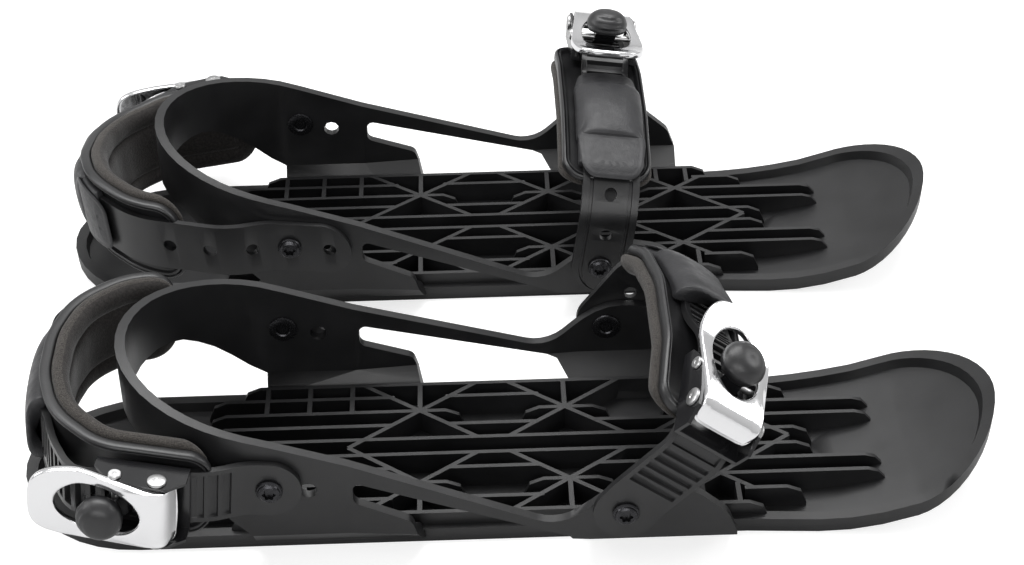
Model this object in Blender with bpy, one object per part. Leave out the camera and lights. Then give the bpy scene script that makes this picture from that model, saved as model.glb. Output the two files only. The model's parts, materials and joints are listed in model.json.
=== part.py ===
"""A pair of mini skis with strap bindings, modelled piece by piece.

Metres, +X towards the tips, +Y to the left, +Z up.  Each ski is one moulding with two straps:
a heel strap that lies folded back around the heel loop, and a toe strap.  Each strap is closed
by a ratchet buckle on the outer side of its ski.  The right ski is built, and the left one is
its mirror image with its toe strap standing straighter.

Lengthwise places on a ski are measured from its rearmost rib crossing, and crosswise places
from the ski's middle.  A strap is drawn along its strap line, which runs from the outer pivot
over the foot to the inner pivot: w is across the strap, u across the ski, h away from the pivot,
and n is the height above the strap line, outwards.
"""
import math

import bmesh
import bpy
from mathutils import Matrix, Vector

# Stance
SKI_SPACING = 0.182
GAP = 0.0003

# Ski base
TAIL_X = -0.181
TIP_X = 0.2624
BASE_HALF_WIDTH = 0.0498
TAIL_CURVE_LENGTH = 0.056
TIP_CURVE_LENGTH = 0.0406
TIP_CURVE_POWER = 1.1
TIP_WIDENING = 0.0034
TIP_WIDE_X = 0.200
BASE_EDGE_INSET = 0.0004
RIM_HEIGHT = 0.0075
RIM_WIDTH = 0.0052
TAIL_POINTS = 9
TIP_POINTS = 12
FLOOR_THICKNESS = 0.003
TIP_BEND_X = 0.161
TIP_RISE = 0.0324
TAIL_BEND_X = -0.145
TAIL_RISE = 0.003

# Ribs
RIB_TOP = 0.014
RIB_THICKNESS = 0.0022
RIB_FOOT_DEPTH = 0.0012
RIB_END_RADIUS = 0.009
STAR_PITCH = 0.068
STAR_OFFSET = 0.0255
CENTRE_RIB_OFFSET = 0.0055
EDGE_RIB_OFFSET = 0.0455
STAR_ARM_LENGTH = 0.0265

# Side walls and heel loop
WALL_THICKNESS = 0.0045
HEEL_WALL_HALF = 0.0585
TOE_WALL_HALF = 0.0675
HEEL_WALL_FRONT_X = -0.030
TOE_WALL_REAR_X = 0.075
LOOP_CENTRE_X = -0.070
LOOP_LENGTH = 0.062
LOOP_TOP_REAR = 0.083
LOOP_TOP_FRONT = 0.067
LOOP_BOTTOM_REAR = 0.054
CREASE_HEIGHT = 0.0145
CREASE_STEP = 0.0026
REAR_FOOT_X = -0.073
REAR_FOOT_FRONT_X = 0.0052
FRONT_FOOT_REAR_X = 0.0842
FRONT_FOOT_X = 0.139
WALL_DIP_X = 0.053
WALL_DIP_HEIGHT = 0.0255
EAR_HEIGHT = 0.0465
EAR_FRONT_X = 0.120
WINDOW_REAR_X = -0.028
WINDOW_TOP_REAR = 0.0435
WINDOW_SILL_REAR = 0.032
WINDOW_FRONT_X = 0.066
WINDOW_TOP_FRONT = 0.0157
WINDOW_SILL_FRONT = 0.022

# Strap pivots
HEEL_PIVOT_X = -0.0636
HEEL_PIVOT_Z = 0.0434
TOE_PIVOT_X = 0.0898
TOE_PIVOT_Z = 0.0322
SPARE_HOLE_STEP = 0.0165
SPARE_HOLE_DROP = 0.0035
SPARE_HOLE_RADIUS = 0.004
HEEL_STRAP_RISE = math.radians(6.0)
LEFT_HEEL_RISE = math.radians(-4.0)
RIGHT_TOE_LEAN = math.radians(37.0)
LEFT_TOE_LEAN = math.radians(8.0)
RIGHT_TOE_CORNER = (-0.0755, 0.0515)
LEFT_TOE_CORNER = (-0.0690, 0.0450)
RIGHT_TOE_CROWN = 0.0630
LEFT_TOE_CROWN = 0.0530
HEEL_MOUTH = 0.070
RIGHT_TOE_MOUTH = 0.069
LEFT_TOE_MOUTH = 0.044

# Strap bands
STRAP_HALF_WIDTH = 0.014
STRAP_THICKNESS = 0.003
STRAP_END = 0.014
HEEL_ADJUST_END = 0.030
HOLE_PITCH = 0.0195
STRAP_HOLE_RADIUS = 0.0031
BUCKLE_STRAP_STEP = 0.024
FLEX_PITCH = 0.0062
FLEX_DEPTH = 0.0010
BUCKLE_STRAP_TUCK = 0.012
LADDER_HALF_WIDTH = 0.012
LADDER_THICKNESS = 0.0032
LADDER_RAIL = 0.0026
TOOTH_PITCH = 0.0058
TOOTH_DEPTH = 0.0015
LADDER_START = 0.0012
LADDER_TUCK = 0.020

# Padded cover
SHELL_HALF_WIDTH = 0.022
SHELL_THICKNESS = 0.0025
RAIL_WIDTH = 0.0035
RAIL_HEIGHT = 0.0024
SLEEVE_WALL = 0.0013
SLEEVE_HALF_WIDTH = 0.0169
MOUTH_LIFT = 0.0036
PAD_HALF_WIDTH = 0.0215
PAD_DEPTH = 0.0077
PAD_SEAM_OFFSET = 0.0115
PAD_SEAM_DEPTH = 0.0012
HEEL_PAD_TAPER = 0.046

# Buckle
BASE_PLATE = 0.0020
BASE_HALF = 0.0167
SIDE_PLATE = 0.0015
BASE_REAR = -0.012
BASE_FRONT = 0.028
LEVER_PIN_HEIGHT = 0.0094
LEVER_PIN_RADIUS = 0.0022
LEVER_PIN_HEAD = 0.0041
TONGUE_PIN_STEP = 0.018
TONGUE_PIN_HEIGHT = 0.0088
TONGUE_PIN_RADIUS = 0.0015
TONGUE_PIN_HEAD = 0.0028
PIN_HEAD_THICKNESS = 0.0011
LEVER_NOSE = -0.009
LEVER_TIP = 0.055
LEVER_NECK_HALF = 0.0138
LEVER_TIP_HALF = 0.0185
LEVER_PLATE = 0.0018
LEVER_EAR = 0.0016
LEVER_EAR_RADIUS = 0.0043
OPENING_CENTRE = 0.024
OPENING_LENGTH = 0.038
OPENING_WIDTH = 0.0205
TONGUE_HALF_WIDTH = 0.0066
TONGUE_LENGTH = 0.0150
TONGUE_TOP = 0.0225
TONGUE_BARREL = 0.0031

# Fasteners
SHANK_RADIUS = 0.0027
SCREW_HEAD_RADIUS = 0.0058
SCREW_HEAD_HEIGHT = 0.0028
RECESS_WIDTH = 0.0011
RECESS_LENGTH = 0.0062
RECESS_DEPTH = 0.0015
NUT_FLANGE_RADIUS = 0.0068
NUT_FLANGE = 0.0013
NUT_BARREL_RADIUS = 0.0040

ARC_STEP = math.radians(15.0)
BLACK_PLASTIC = (0.018, 0.018, 0.019, 1.0)
FELT = (0.12, 0.105, 0.095, 1.0)
LEATHER = (0.045, 0.045, 0.047, 1.0)
CHROME = (0.62, 0.62, 0.63, 1.0)
STEEL = (0.5, 0.5, 0.5, 1.0)
RUBBER = (0.02, 0.02, 0.02, 1.0)

for leftover in list(bpy.data.objects):
    bpy.data.objects.remove(leftover)


# Lines made of straights and arcs

class RoundedLine:
    """A chain of corners joined by straights, each inner corner rounded to its own radius."""

    def __init__(self, corners, radii):
        self.runs = []
        self.length = 0.0
        points = [Vector(corner) for corner in corners]
        headings = [math.atan2(b.x - a.x, b.y - a.y) for a, b in zip(points, points[1:])]
        for index in range(1, len(headings)):
            turn = headings[index] - headings[index - 1]
            headings[index] -= round(turn / (2 * math.pi)) * 2 * math.pi
        start = points[0]
        for index, heading in enumerate(headings):
            end = points[index + 1]
            if index + 1 < len(headings):
                turn = headings[index + 1] - heading
                radius = radii[index]
                end = end - self.direction(heading) * radius * math.tan(abs(turn) / 2)
            self.add_run(start, heading, 0.0, (end - start).length)
            if index + 1 < len(headings) and abs(turn) > 1e-6:
                bend = math.copysign(1.0 / radius, turn)
                self.add_run(end, heading, bend, radius * abs(turn))
                start = self.place(self.length)[0]
            else:
                start = end
        self.marks = self.bend_marks()

    @staticmethod
    def direction(heading):
        return Vector((math.sin(heading), math.cos(heading)))

    def add_run(self, start, heading, bend, length):
        self.runs.append((self.length, start.copy(), heading, bend, length))
        self.length += length

    def place(self, s):
        """The point and heading at the distance s along the line."""
        run = self.runs[0]
        for candidate in self.runs:
            if s >= candidate[0] - 1e-12:
                run = candidate
        origin, start, heading, bend, _ = run
        travel = s - origin
        if bend == 0.0:
            return start + self.direction(heading) * travel, heading
        now = heading + bend * travel
        shift = Vector((math.cos(heading) - math.cos(now), math.sin(now) - math.sin(heading)))
        return start + shift / bend, now

    def bend_marks(self):
        """Distances of the line's own points, with the point and outward normal at each."""
        marks = []
        for origin, _, _, bend, length in self.runs:
            pieces = max(1, math.ceil(abs(bend) * length / ARC_STEP))
            for piece in range(pieces + 1):
                s = origin + length * piece / pieces
                if marks and s - marks[-1][0] < 2e-4:
                    continue
                point, heading = self.place(s)
                marks.append((s, point, Vector((-math.cos(heading), math.sin(heading)))))
        return marks

    def chord(self, s):
        """The marks on both sides of s and the share of the way between them."""
        for low, high in zip(self.marks, self.marks[1:]):
            if s <= high[0]:
                break
        return low, high, (s - low[0]) / (high[0] - low[0])

    def stops(self, first, last, extra=()):
        """Distances from first to last at which the line needs a ring of points."""
        found = {round(first, 7), round(last, 7)}
        found.update(round(mark[0], 7) for mark in self.marks)
        found.update(round(value, 7) for value in extra)
        kept = []
        for value in sorted(found):
            if first - 1e-9 <= value <= last + 1e-9 and (not kept or value - kept[-1] > 2e-4):
                kept.append(value)
        return kept

    def where(self, axis, value, after=0.0):
        """The first distance past after at which a coordinate reaches a value."""
        step = 0.0005
        s = after
        before = self.place(s)[0][axis] - value
        while s < self.length:
            s += step
            now = self.place(s)[0][axis] - value
            if (before <= 0 <= now) or (now <= 0 <= before):
                return s
            before = now
        return self.length


# Mesh building

def skin(rings, around=False):
    """A closed solid through rings of points: capped at both ends, or closed on itself."""
    mesh = bmesh.new()
    rows = [[mesh.verts.new(point) for point in ring] for ring in rings]
    pairs = list(zip(rows, rows[1:]))
    if around:
        pairs.append((rows[-1], rows[0]))
    for low, high in pairs:
        for index in range(len(low)):
            after = (index + 1) % len(low)
            mesh.faces.new((low[index], low[after], high[after], high[index]))
    if not around:
        mesh.faces.new(rows[0])
        mesh.faces.new(rows[-1])
    return finished(mesh)


def finished(mesh):
    loose = [corner for corner in mesh.verts if not corner.link_faces]
    bmesh.ops.delete(mesh, geom=loose, context="VERTS")
    bmesh.ops.recalc_face_normals(mesh, faces=mesh.faces)
    data = bpy.data.meshes.new("form")
    mesh.to_mesh(data)
    mesh.free()
    return data


def joined(data_blocks):
    """Several meshes that don't meet, gathered as one cutter."""
    mesh = bmesh.new()
    for data in data_blocks:
        mesh.from_mesh(data)
    gathered = bpy.data.meshes.new("form")
    mesh.to_mesh(gathered)
    mesh.free()
    return gathered


def combine(data, tools, operation):
    """The mesh after an exact Boolean with each of the tool meshes."""
    scene_collection = bpy.context.scene.collection
    shop = bpy.data.collections.new("shop")
    scene_collection.children.link(shop)
    body = bpy.data.objects.new("body", data)
    scene_collection.objects.link(body)
    helpers = []
    for tool in tools:
        helper = bpy.data.objects.new("tool", tool)
        shop.objects.link(helper)
        helpers.append(helper)
    modifier = body.modifiers.new("combine", "BOOLEAN")
    modifier.operation = operation
    modifier.solver = "EXACT"
    modifier.operand_type = "COLLECTION"
    modifier.collection = shop
    evaluated = body.evaluated_get(bpy.context.evaluated_depsgraph_get())
    result = bpy.data.meshes.new_from_object(evaluated)
    for helper in helpers + [body]:
        bpy.data.objects.remove(helper)
    bpy.data.collections.remove(shop)
    return result


def cleaned(data, flatness=math.radians(0.2)):
    """The mesh with flat areas merged, loose ends dropped and tiny edges closed."""
    mesh = bmesh.new()
    mesh.from_mesh(data)
    bmesh.ops.remove_doubles(mesh, verts=mesh.verts, dist=2e-6)
    bmesh.ops.dissolve_limit(mesh, angle_limit=flatness, verts=mesh.verts, edges=mesh.edges)
    bmesh.ops.triangulate(mesh, faces=[face for face in mesh.faces if len(face.verts) > 4])
    return finished(mesh)


def prism(outline, depth_axis, low, high):
    """An outline drawn in the two other axes, pushed from low to high along one axis."""
    def lifted(point, depth):
        values = list(point)
        values.insert(depth_axis, depth)
        return values
    return skin([[lifted(point, low) for point in outline], [lifted(point, high) for point in outline]])


def block(low, high):
    outline = [(low[0], low[1]), (high[0], low[1]), (high[0], high[1]), (low[0], high[1])]
    return prism(outline, 2, low[2], high[2])


def circle(radius, sides, centre=(0.0, 0.0)):
    turn = 2 * math.pi / sides
    return [(centre[0] + radius * math.cos(turn * (side + 0.5)),
             centre[1] + radius * math.sin(turn * (side + 0.5))) for side in range(sides)]


def rod(radius, low, high, axis, centre=(0.0, 0.0), sides=10):
    return prism(circle(radius, sides, centre), axis, low, high)


def turned(profile, sides=12):
    """A solid turned about Y through discs of (radius, place)."""
    return skin([[(x, place, z) for x, z in circle(radius, sides)] for radius, place in profile])


def ring(profile, sides=12):
    """A bored solid turned about Y from a closed profile of (radius, place)."""
    sections = []
    for side in range(sides):
        angle = 2 * math.pi * (side + 0.5) / sides
        sections.append([(radius * math.cos(angle), place, radius * math.sin(angle))
                         for radius, place in profile])
    return skin(sections, around=True)


def corner_arc(centre, radius, first, last, steps=3):
    """Points of an arc, with angles in degrees."""
    points = []
    for step in range(steps + 1):
        angle = math.radians(first + (last - first) * step / steps)
        points.append((centre[0] + radius * math.cos(angle), centre[1] + radius * math.sin(angle)))
    return points


def between(value, start, end):
    return min(1.0, max(0.0, (value - start) / (end - start)))


# Ski base and ribs

def sole_height(x):
    """Height of the sole above the ground: flat, bent up at the tip and a little at the tail."""
    tip = between(x, TIP_BEND_X, TIP_X)
    tail = between(x, TAIL_BEND_X, TAIL_X)
    return TIP_RISE * tip ** 2.5 + TAIL_RISE * tail ** 2


def base_plan(inset):
    """Half of the base's outline, tail to tip, moved inwards."""
    def half(x):
        share = between(x, TIP_BEND_X - 0.020, TIP_WIDE_X)
        return BASE_HALF_WIDTH + TIP_WIDENING * share * share * (3 - 2 * share) - inset

    tail_centre = TAIL_X + TAIL_CURVE_LENGTH
    tip_centre = TIP_X - TIP_CURVE_LENGTH
    points = []
    for step in range(TAIL_POINTS + 1):
        angle = math.radians(90.0 * step / TAIL_POINTS)
        length = TAIL_CURVE_LENGTH - inset
        x = tail_centre - length * math.cos(angle)
        points.append((x, half(x) * math.sin(angle)))
    points += [(x, half(x)) for x in (0.0, 0.146, 0.164, 0.178, 0.192, 0.206)]
    for step in range(TIP_POINTS + 1):
        angle = math.radians(90.0 * step / TIP_POINTS)
        length = TIP_CURVE_LENGTH - inset
        x = tip_centre + length * math.sin(angle) ** TIP_CURVE_POWER
        points.append((x, half(x) * abs(math.cos(angle)) ** TIP_CURVE_POWER))
    points[-1] = (points[-1][0], 0.0)
    return points


def base_tray():
    """The sole with its raised rim: four closed outlines joined by bands."""
    mesh = bmesh.new()
    loops = []
    levels = ((BASE_EDGE_INSET, 0.0), (0.0, RIM_HEIGHT), (RIM_WIDTH, RIM_HEIGHT),
              (RIM_WIDTH + 0.0012, FLOOR_THICKNESS))
    for inset, level in levels:
        half = base_plan(inset)
        left = [mesh.verts.new((x, y, sole_height(x) + level)) for x, y in half]
        right = [mesh.verts.new((x, -y, sole_height(x) + level)) for x, y in half[1:-1]]
        loops.append((left, [left[0]] + right + [left[-1]]))
    for low, high in zip(loops, loops[1:]):
        for side in range(2):
            for index in range(len(low[side]) - 1):
                corners = (low[side][index], low[side][index + 1],
                           high[side][index + 1], high[side][index])
                mesh.faces.new(corners)
    for left, right in (loops[0], loops[-1]):
        for index in range(len(left) - 1):
            corners = [left[index], left[index + 1], right[index + 1], right[index]]
            mesh.faces.new(list(dict.fromkeys(corners)))
    return finished(mesh)


def rib_foot(x):
    """Height at which a rib is rooted inside the tray's floor."""
    return sole_height(x) + FLOOR_THICKNESS - RIB_FOOT_DEPTH


def fin_end(end, outward):
    """The rounded end of a rib, from its foot up to its top."""
    centre = RIB_TOP - RIB_END_RADIUS
    lowest = math.degrees(math.asin(min(0.9, max(0.0, (rib_foot(end) + 0.0012 - centre) / RIB_END_RADIUS))))
    arc = corner_arc((0.0, centre), RIB_END_RADIUS, lowest, 90, 2)
    return [(end + outward * (x - RIB_END_RADIUS), z) for x, z in arc]


def long_rib(start, end, offset, round_start=False, round_end=False):
    """A rib along the ski, its ends square or rounded down like a fin."""
    front = fin_end(end, 1) if round_end else [(end, RIB_TOP)]
    rear = fin_end(start, -1) if round_start else [(start, RIB_TOP)]
    first = rear[0][0]
    last = front[0][0]
    foot = [first] + [x for x in (0.175, 0.190, 0.200) if first < x < last - 0.001] + [last]
    outline = [(x, rib_foot(x)) for x in foot] + front + rear[::-1]
    return prism(outline, 1, offset - RIB_THICKNESS / 2, offset + RIB_THICKNESS / 2)


def slanted_rib(start, end):
    """A rib between two places in plan, its foot following the floor."""
    run = Vector(end) - Vector(start)
    side = Vector((-run.y, run.x)).normalized() * RIB_THICKNESS / 2
    outline = [Vector(start) - side, Vector(end) - side, Vector(end) + side, Vector(start) + side]
    foot = [(point.x, point.y, rib_foot(place[0])) for point, place in zip(outline, (start, end, end, start))]
    return skin([foot, [(point.x, point.y, RIB_TOP) for point in outline]])


def ribs():
    """The long ribs, the star-shaped crossings and the short cross ribs, on both halves."""
    bodies = []
    second = STAR_PITCH
    third = 2 * STAR_PITCH
    rear_meeting = -0.033
    front_meeting = third + 0.034
    reach = STAR_ARM_LENGTH
    long_ribs = (
        (-0.105, 0.182, CENTRE_RIB_OFFSET, True, True),
        (-0.100, -0.013, 0.0155, True, False), (0.013, second - 0.013, 0.0155, False, False),
        (second + 0.013, third - 0.013, 0.0155, False, False), (third + 0.013, 0.212, 0.0155, False, True),
        (-0.100, 0.021, STAR_OFFSET, True, True), (0.047, 0.090, STAR_OFFSET, True, True),
        (0.113, 0.212, STAR_OFFSET, True, True),
        (-0.100, -0.012, 0.036, True, False), (0.012, second - 0.012, 0.036, False, False),
        (third + 0.010, 0.174, 0.036, False, True),
        (-0.085, 0.156, EDGE_RIB_OFFSET, True, True),
    )
    for side in (-1, 1):
        for start, end, offset, round_start, round_end in long_ribs:
            bodies.append(long_rib(start, end, side * offset, round_start, round_end))
        for star in (0.0, second, third):
            middle = (star, side * STAR_OFFSET)
            rear_inner = (star - reach, side * CENTRE_RIB_OFFSET)
            front_inner = (star + reach, side * CENTRE_RIB_OFFSET)
            front_outer = (star + reach, side * EDGE_RIB_OFFSET)
            if star == 0.0:
                rear_inner = (rear_meeting, 0.0)
            if star == third:
                front_inner = (front_meeting, 0.0)
                front_outer = (star + 0.014, side * 0.036)
            for far_end in (rear_inner, front_inner, front_outer, (star - reach, side * EDGE_RIB_OFFSET)):
                bodies.append(slanted_rib(middle, far_end))
        for x in (-0.072, -0.052, -0.032, 0.0, second):
            bodies.append(slanted_rib((x, side * (STAR_OFFSET + 0.0005)), (x, side * (EDGE_RIB_OFFSET + 0.0005))))
        for x in (0.127, 0.143):
            bodies.append(slanted_rib((x, side * 0.032), (x, side * (EDGE_RIB_OFFSET + 0.0005))))
    return bodies


# Side walls and heel loop

def wall_half(x):
    """Half the distance across the walls' outer faces."""
    spread = between(x, HEEL_WALL_FRONT_X, TOE_WALL_REAR_X)
    return HEEL_WALL_HALF + (TOE_WALL_HALF - HEEL_WALL_HALF) * spread


def top_line():
    """The wall's upper edge as seen from the side, front foot to the back of the loop."""
    corners = ((FRONT_FOOT_X, CREASE_HEIGHT + 0.0015), (FRONT_FOOT_X - 0.004, 0.027),
               (EAR_FRONT_X, EAR_HEIGHT - 0.006), (TOE_PIVOT_X, EAR_HEIGHT),
               (WALL_DIP_X + 0.008, WALL_DIP_HEIGHT - 0.004), (LOOP_CENTRE_X, LOOP_TOP_FRONT),
               (LOOP_CENTRE_X - LOOP_LENGTH, LOOP_TOP_REAR))
    return RoundedLine(corners, (0.008, 0.016, 0.030, 0.018, 0.200))


def bottom_line():
    """The loop's lower edge, from the rear foot to the back of the loop."""
    corners = ((REAR_FOOT_X, CREASE_HEIGHT), (REAR_FOOT_X - 0.027, 0.0400),
               (LOOP_CENTRE_X - LOOP_LENGTH * 0.74, 0.0525), (LOOP_CENTRE_X - LOOP_LENGTH, LOOP_BOTTOM_REAR))
    return RoundedLine(corners, (0.060, 0.030))


def height_at(line, x):
    """The height of a line that never doubles back along x."""
    return line.place(line.where(0, x))[0].y


def loop_walls():
    """Both walls and the loop as one ribbon, with slanted feet where it reaches the base."""
    top = top_line()
    bottom = bottom_line()
    inner = WALL_THICKNESS
    mesh = bmesh.new()
    bends = [top.where(0, x) for x in (TOE_WALL_REAR_X, HEEL_WALL_FRONT_X)]
    stations = [top.place(s)[0] for s in top.stops(0.0, top.length, bends)]
    stations = [point for point in stations if point.x > REAR_FOOT_X + 0.002]
    stations.append(Vector((REAR_FOOT_X, height_at(top, REAR_FOOT_X))))

    def foot_row(side, x, height):
        half = wall_half(x)
        base_outer = BASE_HALF_WIDTH - 0.0012
        base_inner = BASE_HALF_WIDTH - RIM_WIDTH - 0.0003
        points = ((half - inner, height), (half, height), (half, CREASE_HEIGHT),
                  (base_outer, 0.0022), (base_inner, 0.0045), (half - inner, CREASE_HEIGHT + CREASE_STEP))
        return [mesh.verts.new((x, side * y, z)) for y, z in points]

    def loop_row(angle):
        length = LOOP_LENGTH
        half = HEEL_WALL_HALF
        outer = (LOOP_CENTRE_X - length * math.sin(angle), half * math.cos(angle))
        inside = (LOOP_CENTRE_X - (length - inner) * math.sin(angle), (half - inner) * math.cos(angle))
        high = height_at(top, outer[0])
        low = height_at(bottom, outer[0])
        corners = ((inside, high), (outer, high), (outer, low), (inside, low))
        return [mesh.verts.new((place[0], place[1], z)) for place, z in corners]

    def band(first, second):
        for index in range(len(first)):
            after = (index + 1) % len(first)
            mesh.faces.new((first[index], first[after], second[after], second[index]))

    ends = []
    for side in (1, -1):
        rows = [foot_row(side, point.x, point.y) for point in stations]
        mesh.faces.new(rows[0])
        for first, second in zip(rows, rows[1:]):
            band(first, second)
        last = rows[-1]
        mesh.faces.new((last[2], last[3], last[4], last[5]))
        ends.append([last[0], last[1], last[2], last[5]])
    start_angle = math.asin((LOOP_CENTRE_X - REAR_FOOT_X) / LOOP_LENGTH)
    steps = 22
    rows = [ends[0]]
    for step in range(1, steps):
        rows.append(loop_row(start_angle + (math.pi - 2 * start_angle) * step / steps))
    rows.append(ends[1])
    for first, second in zip(rows, rows[1:]):
        band(first, second)
    return finished(mesh)


def window():
    """The opening under the beam of each wall, as a cutter through both."""
    reach = TOE_WALL_HALF + 0.02
    corners = ((WINDOW_REAR_X + 0.012, WINDOW_TOP_REAR - 0.0036), (WINDOW_REAR_X, WINDOW_TOP_REAR),
               (WINDOW_REAR_X, WINDOW_SILL_REAR), (REAR_FOOT_FRONT_X - 0.008, WINDOW_SILL_FRONT),
               (REAR_FOOT_FRONT_X, -0.006))
    rounded = RoundedLine(corners, (0.003, 0.004, 0.005))
    outline = [tuple(rounded.place(s)[0]) for s in rounded.stops(0.0, rounded.length * 0.98)]
    outline += [corners[-1], (FRONT_FOOT_REAR_X, -0.006), (WINDOW_FRONT_X, WINDOW_TOP_FRONT)]
    return prism(outline, 1, -reach, reach)


def ski_body():
    """The whole moulding: tray, ribs, walls, heel loop, windows and fastener holes."""
    reach = TOE_WALL_HALF + 0.02
    hole = NUT_BARREL_RADIUS + GAP
    heel = (HEEL_PIVOT_X, HEEL_PIVOT_Z)
    toe = (TOE_PIVOT_X, TOE_PIVOT_Z)
    spare = (HEEL_PIVOT_X + SPARE_HOLE_STEP, HEEL_PIVOT_Z - SPARE_HOLE_DROP)
    drills = joined([rod(hole, -reach, reach, 1, heel), rod(hole, -reach, reach, 1, toe),
                     rod(SPARE_HOLE_RADIUS, -reach, reach, 1, spare)])
    walls = combine(loop_walls(), [window()], "DIFFERENCE")
    walls = combine(walls, [drills], "DIFFERENCE")
    return cleaned(combine(base_tray(), ribs() + [walls], "UNION"))


# Straps

class Strap:
    """The strap line of one strap and the places along it."""

    def __init__(self, corners, radii, pin_place, liner, mouth, sleeve_end, adjust_end, set_back=0.0, twist=0.0):
        self.line = RoundedLine(corners, radii)
        self.pin = pin_place(self.line)
        self.set_back = set_back
        self.twist = twist
        self.liner = (liner[0](self), liner[1](self))
        self.sleeve = (self.pin + mouth, sleeve_end(self))
        self.inner_pivot = self.line.length - adjust_end
        self.adjust_end = adjust_end

    def ring_at(self, s, section):
        """A ring of points across the line, from pairs of (w, n)."""
        low, high, share = self.line.chord(s)
        return [self.placed(low, w, n).lerp(self.placed(high, w, n), share) for w, n in section]

    def placed(self, mark, w, n):
        """The place of (w, n) at a mark, shifted across by the strap's slant there."""
        h = mark[1].y + n * mark[2].y
        return Vector((w + h * math.tan(self.turn_at(mark[0])), mark[1].x + n * mark[2].x, h))

    def turn_at(self, s):
        """How far a twisted strap slants about its pivots, from the buckle to the inner side."""
        share = between(s, self.pin + BASE_FRONT + 0.004, self.sleeve[1])
        return self.twist * share * share * (3 - 2 * share)

    def level_over_buckle(self, s, height):
        """How far above the line at s a height of the buckle's own frame is."""
        seat, heading = self.line.place(self.pin)
        outward = Vector((-math.cos(heading), math.sin(heading)))
        low, high, share = self.line.chord(s)
        point = low[1].lerp(high[1], share)
        normal = low[2].lerp(high[2], share)
        return (height - (point - seat).dot(outward)) / normal.dot(outward)

    def sweep(self, first, last, section, extra=()):
        return skin([self.ring_at(s, section(s)) for s in self.line.stops(first, last, extra)])


def rectangle(half, low, high):
    return [(-half, low), (half, low), (half, high), (-half, high)]


def rounded_half(s, end, half):
    """Half the width near a strap's round end."""
    run = min(abs(s - end), half)
    return max(0.0012, math.sqrt(max(0.0, half ** 2 - (half - run) ** 2)))


def round_end_stops(end, inward, half):
    return [end + inward * half * (1 - math.cos(math.radians(angle))) for angle in (0, 18, 36, 54, 72, 90)]


def heel_strap(twist):
    """The strap line behind the heel, wide enough to swing up over the heel loop."""
    pivot = HEEL_WALL_HALF + GAP
    corners = [(-pivot, -STRAP_END), (-pivot, 0.010), (-0.0665, 0.028), (-0.0605, 0.073),
               (-0.040, 0.0950), (-0.014, 0.1020), (0.014, 0.1020), (0.040, 0.0950), (0.0605, 0.073),
               (0.0665, 0.029), (pivot, 0.010), (pivot, -HEEL_ADJUST_END)]
    radii = (0.030, 0.035, 0.030, 0.045, 0.060, 0.060, 0.045, 0.035, 0.035, 0.030)
    return Strap(corners, radii,
                 pin_place=lambda line: line.where(1, 0.044),
                 liner=(lambda strap: strap.line.where(1, 0.024),
                        lambda strap: strap.line.where(1, 0.052, strap.line.length * 0.6)),
                 mouth=HEEL_MOUTH,
                 sleeve_end=lambda strap: strap.line.where(1, 0.089, strap.line.length * 0.5),
                 adjust_end=HEEL_ADJUST_END, twist=twist)


def toe_strap(corner_place, crown, mouth):
    """The strap line over the foot, with the buckle on its outer shoulder."""
    pivot = TOE_WALL_HALF + GAP
    corners = [(-pivot, -STRAP_END), (-pivot, 0.008), corner_place, (-0.030, crown),
               (0.012, crown), (0.040, crown * 0.8 + 0.0058), (0.0600, 0.0430), (pivot + 0.0004, 0.0275),
               (pivot, 0.010), (pivot, -STRAP_END)]
    radii = (0.030, 0.010, 0.040, 0.050, 0.030, 0.024, 0.012, 0.100)
    return Strap(corners, radii,
                 pin_place=lambda line: line.where(0, corner_place[0] + 0.008, line.where(1, corner_place[1] - 0.002)),
                 liner=(lambda strap: strap.pin + 0.001,
                        lambda strap: strap.line.where(1, 0.042, strap.line.length * 0.6)),
                 mouth=mouth,
                 sleeve_end=lambda strap: strap.line.where(1, 0.045, strap.line.length * 0.6),
                 adjust_end=STRAP_END, set_back=-0.002)


def pivot_drill(side_half):
    """Clearance for the screws at both ends of a strap."""
    return rod(STRAP_HOLE_RADIUS, -side_half - 0.03, side_half + 0.03, 1)


def adjust_strap(strap, holes_ahead, holes_behind):
    """The plain strap with a row of holes, from its round end into the sleeve."""
    line = strap.line
    end = line.length
    start = strap.sleeve[1] - LADDER_TUCK
    half = STRAP_HALF_WIDTH

    def section(s):
        width = min(half, rounded_half(s, end, half))
        return rectangle(width, 0.0, STRAP_THICKNESS)

    band = strap.sweep(start, end, section, round_end_stops(end, -1, half))
    drills = []
    for step in range(-holes_ahead, holes_behind + 1):
        place, heading = line.place(strap.inner_pivot - step * HOLE_PITCH)
        drill = rod(STRAP_HOLE_RADIUS, -0.012, 0.012, 1)
        centre = (place.y * math.tan(strap.twist), place.x, place.y)
        drill.transform(Matrix.Translation(centre) @ Matrix.Rotation(-heading, 4, "X"))
        drills.append(drill)
    return combine(band, [joined(drills)], "DIFFERENCE")


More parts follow.
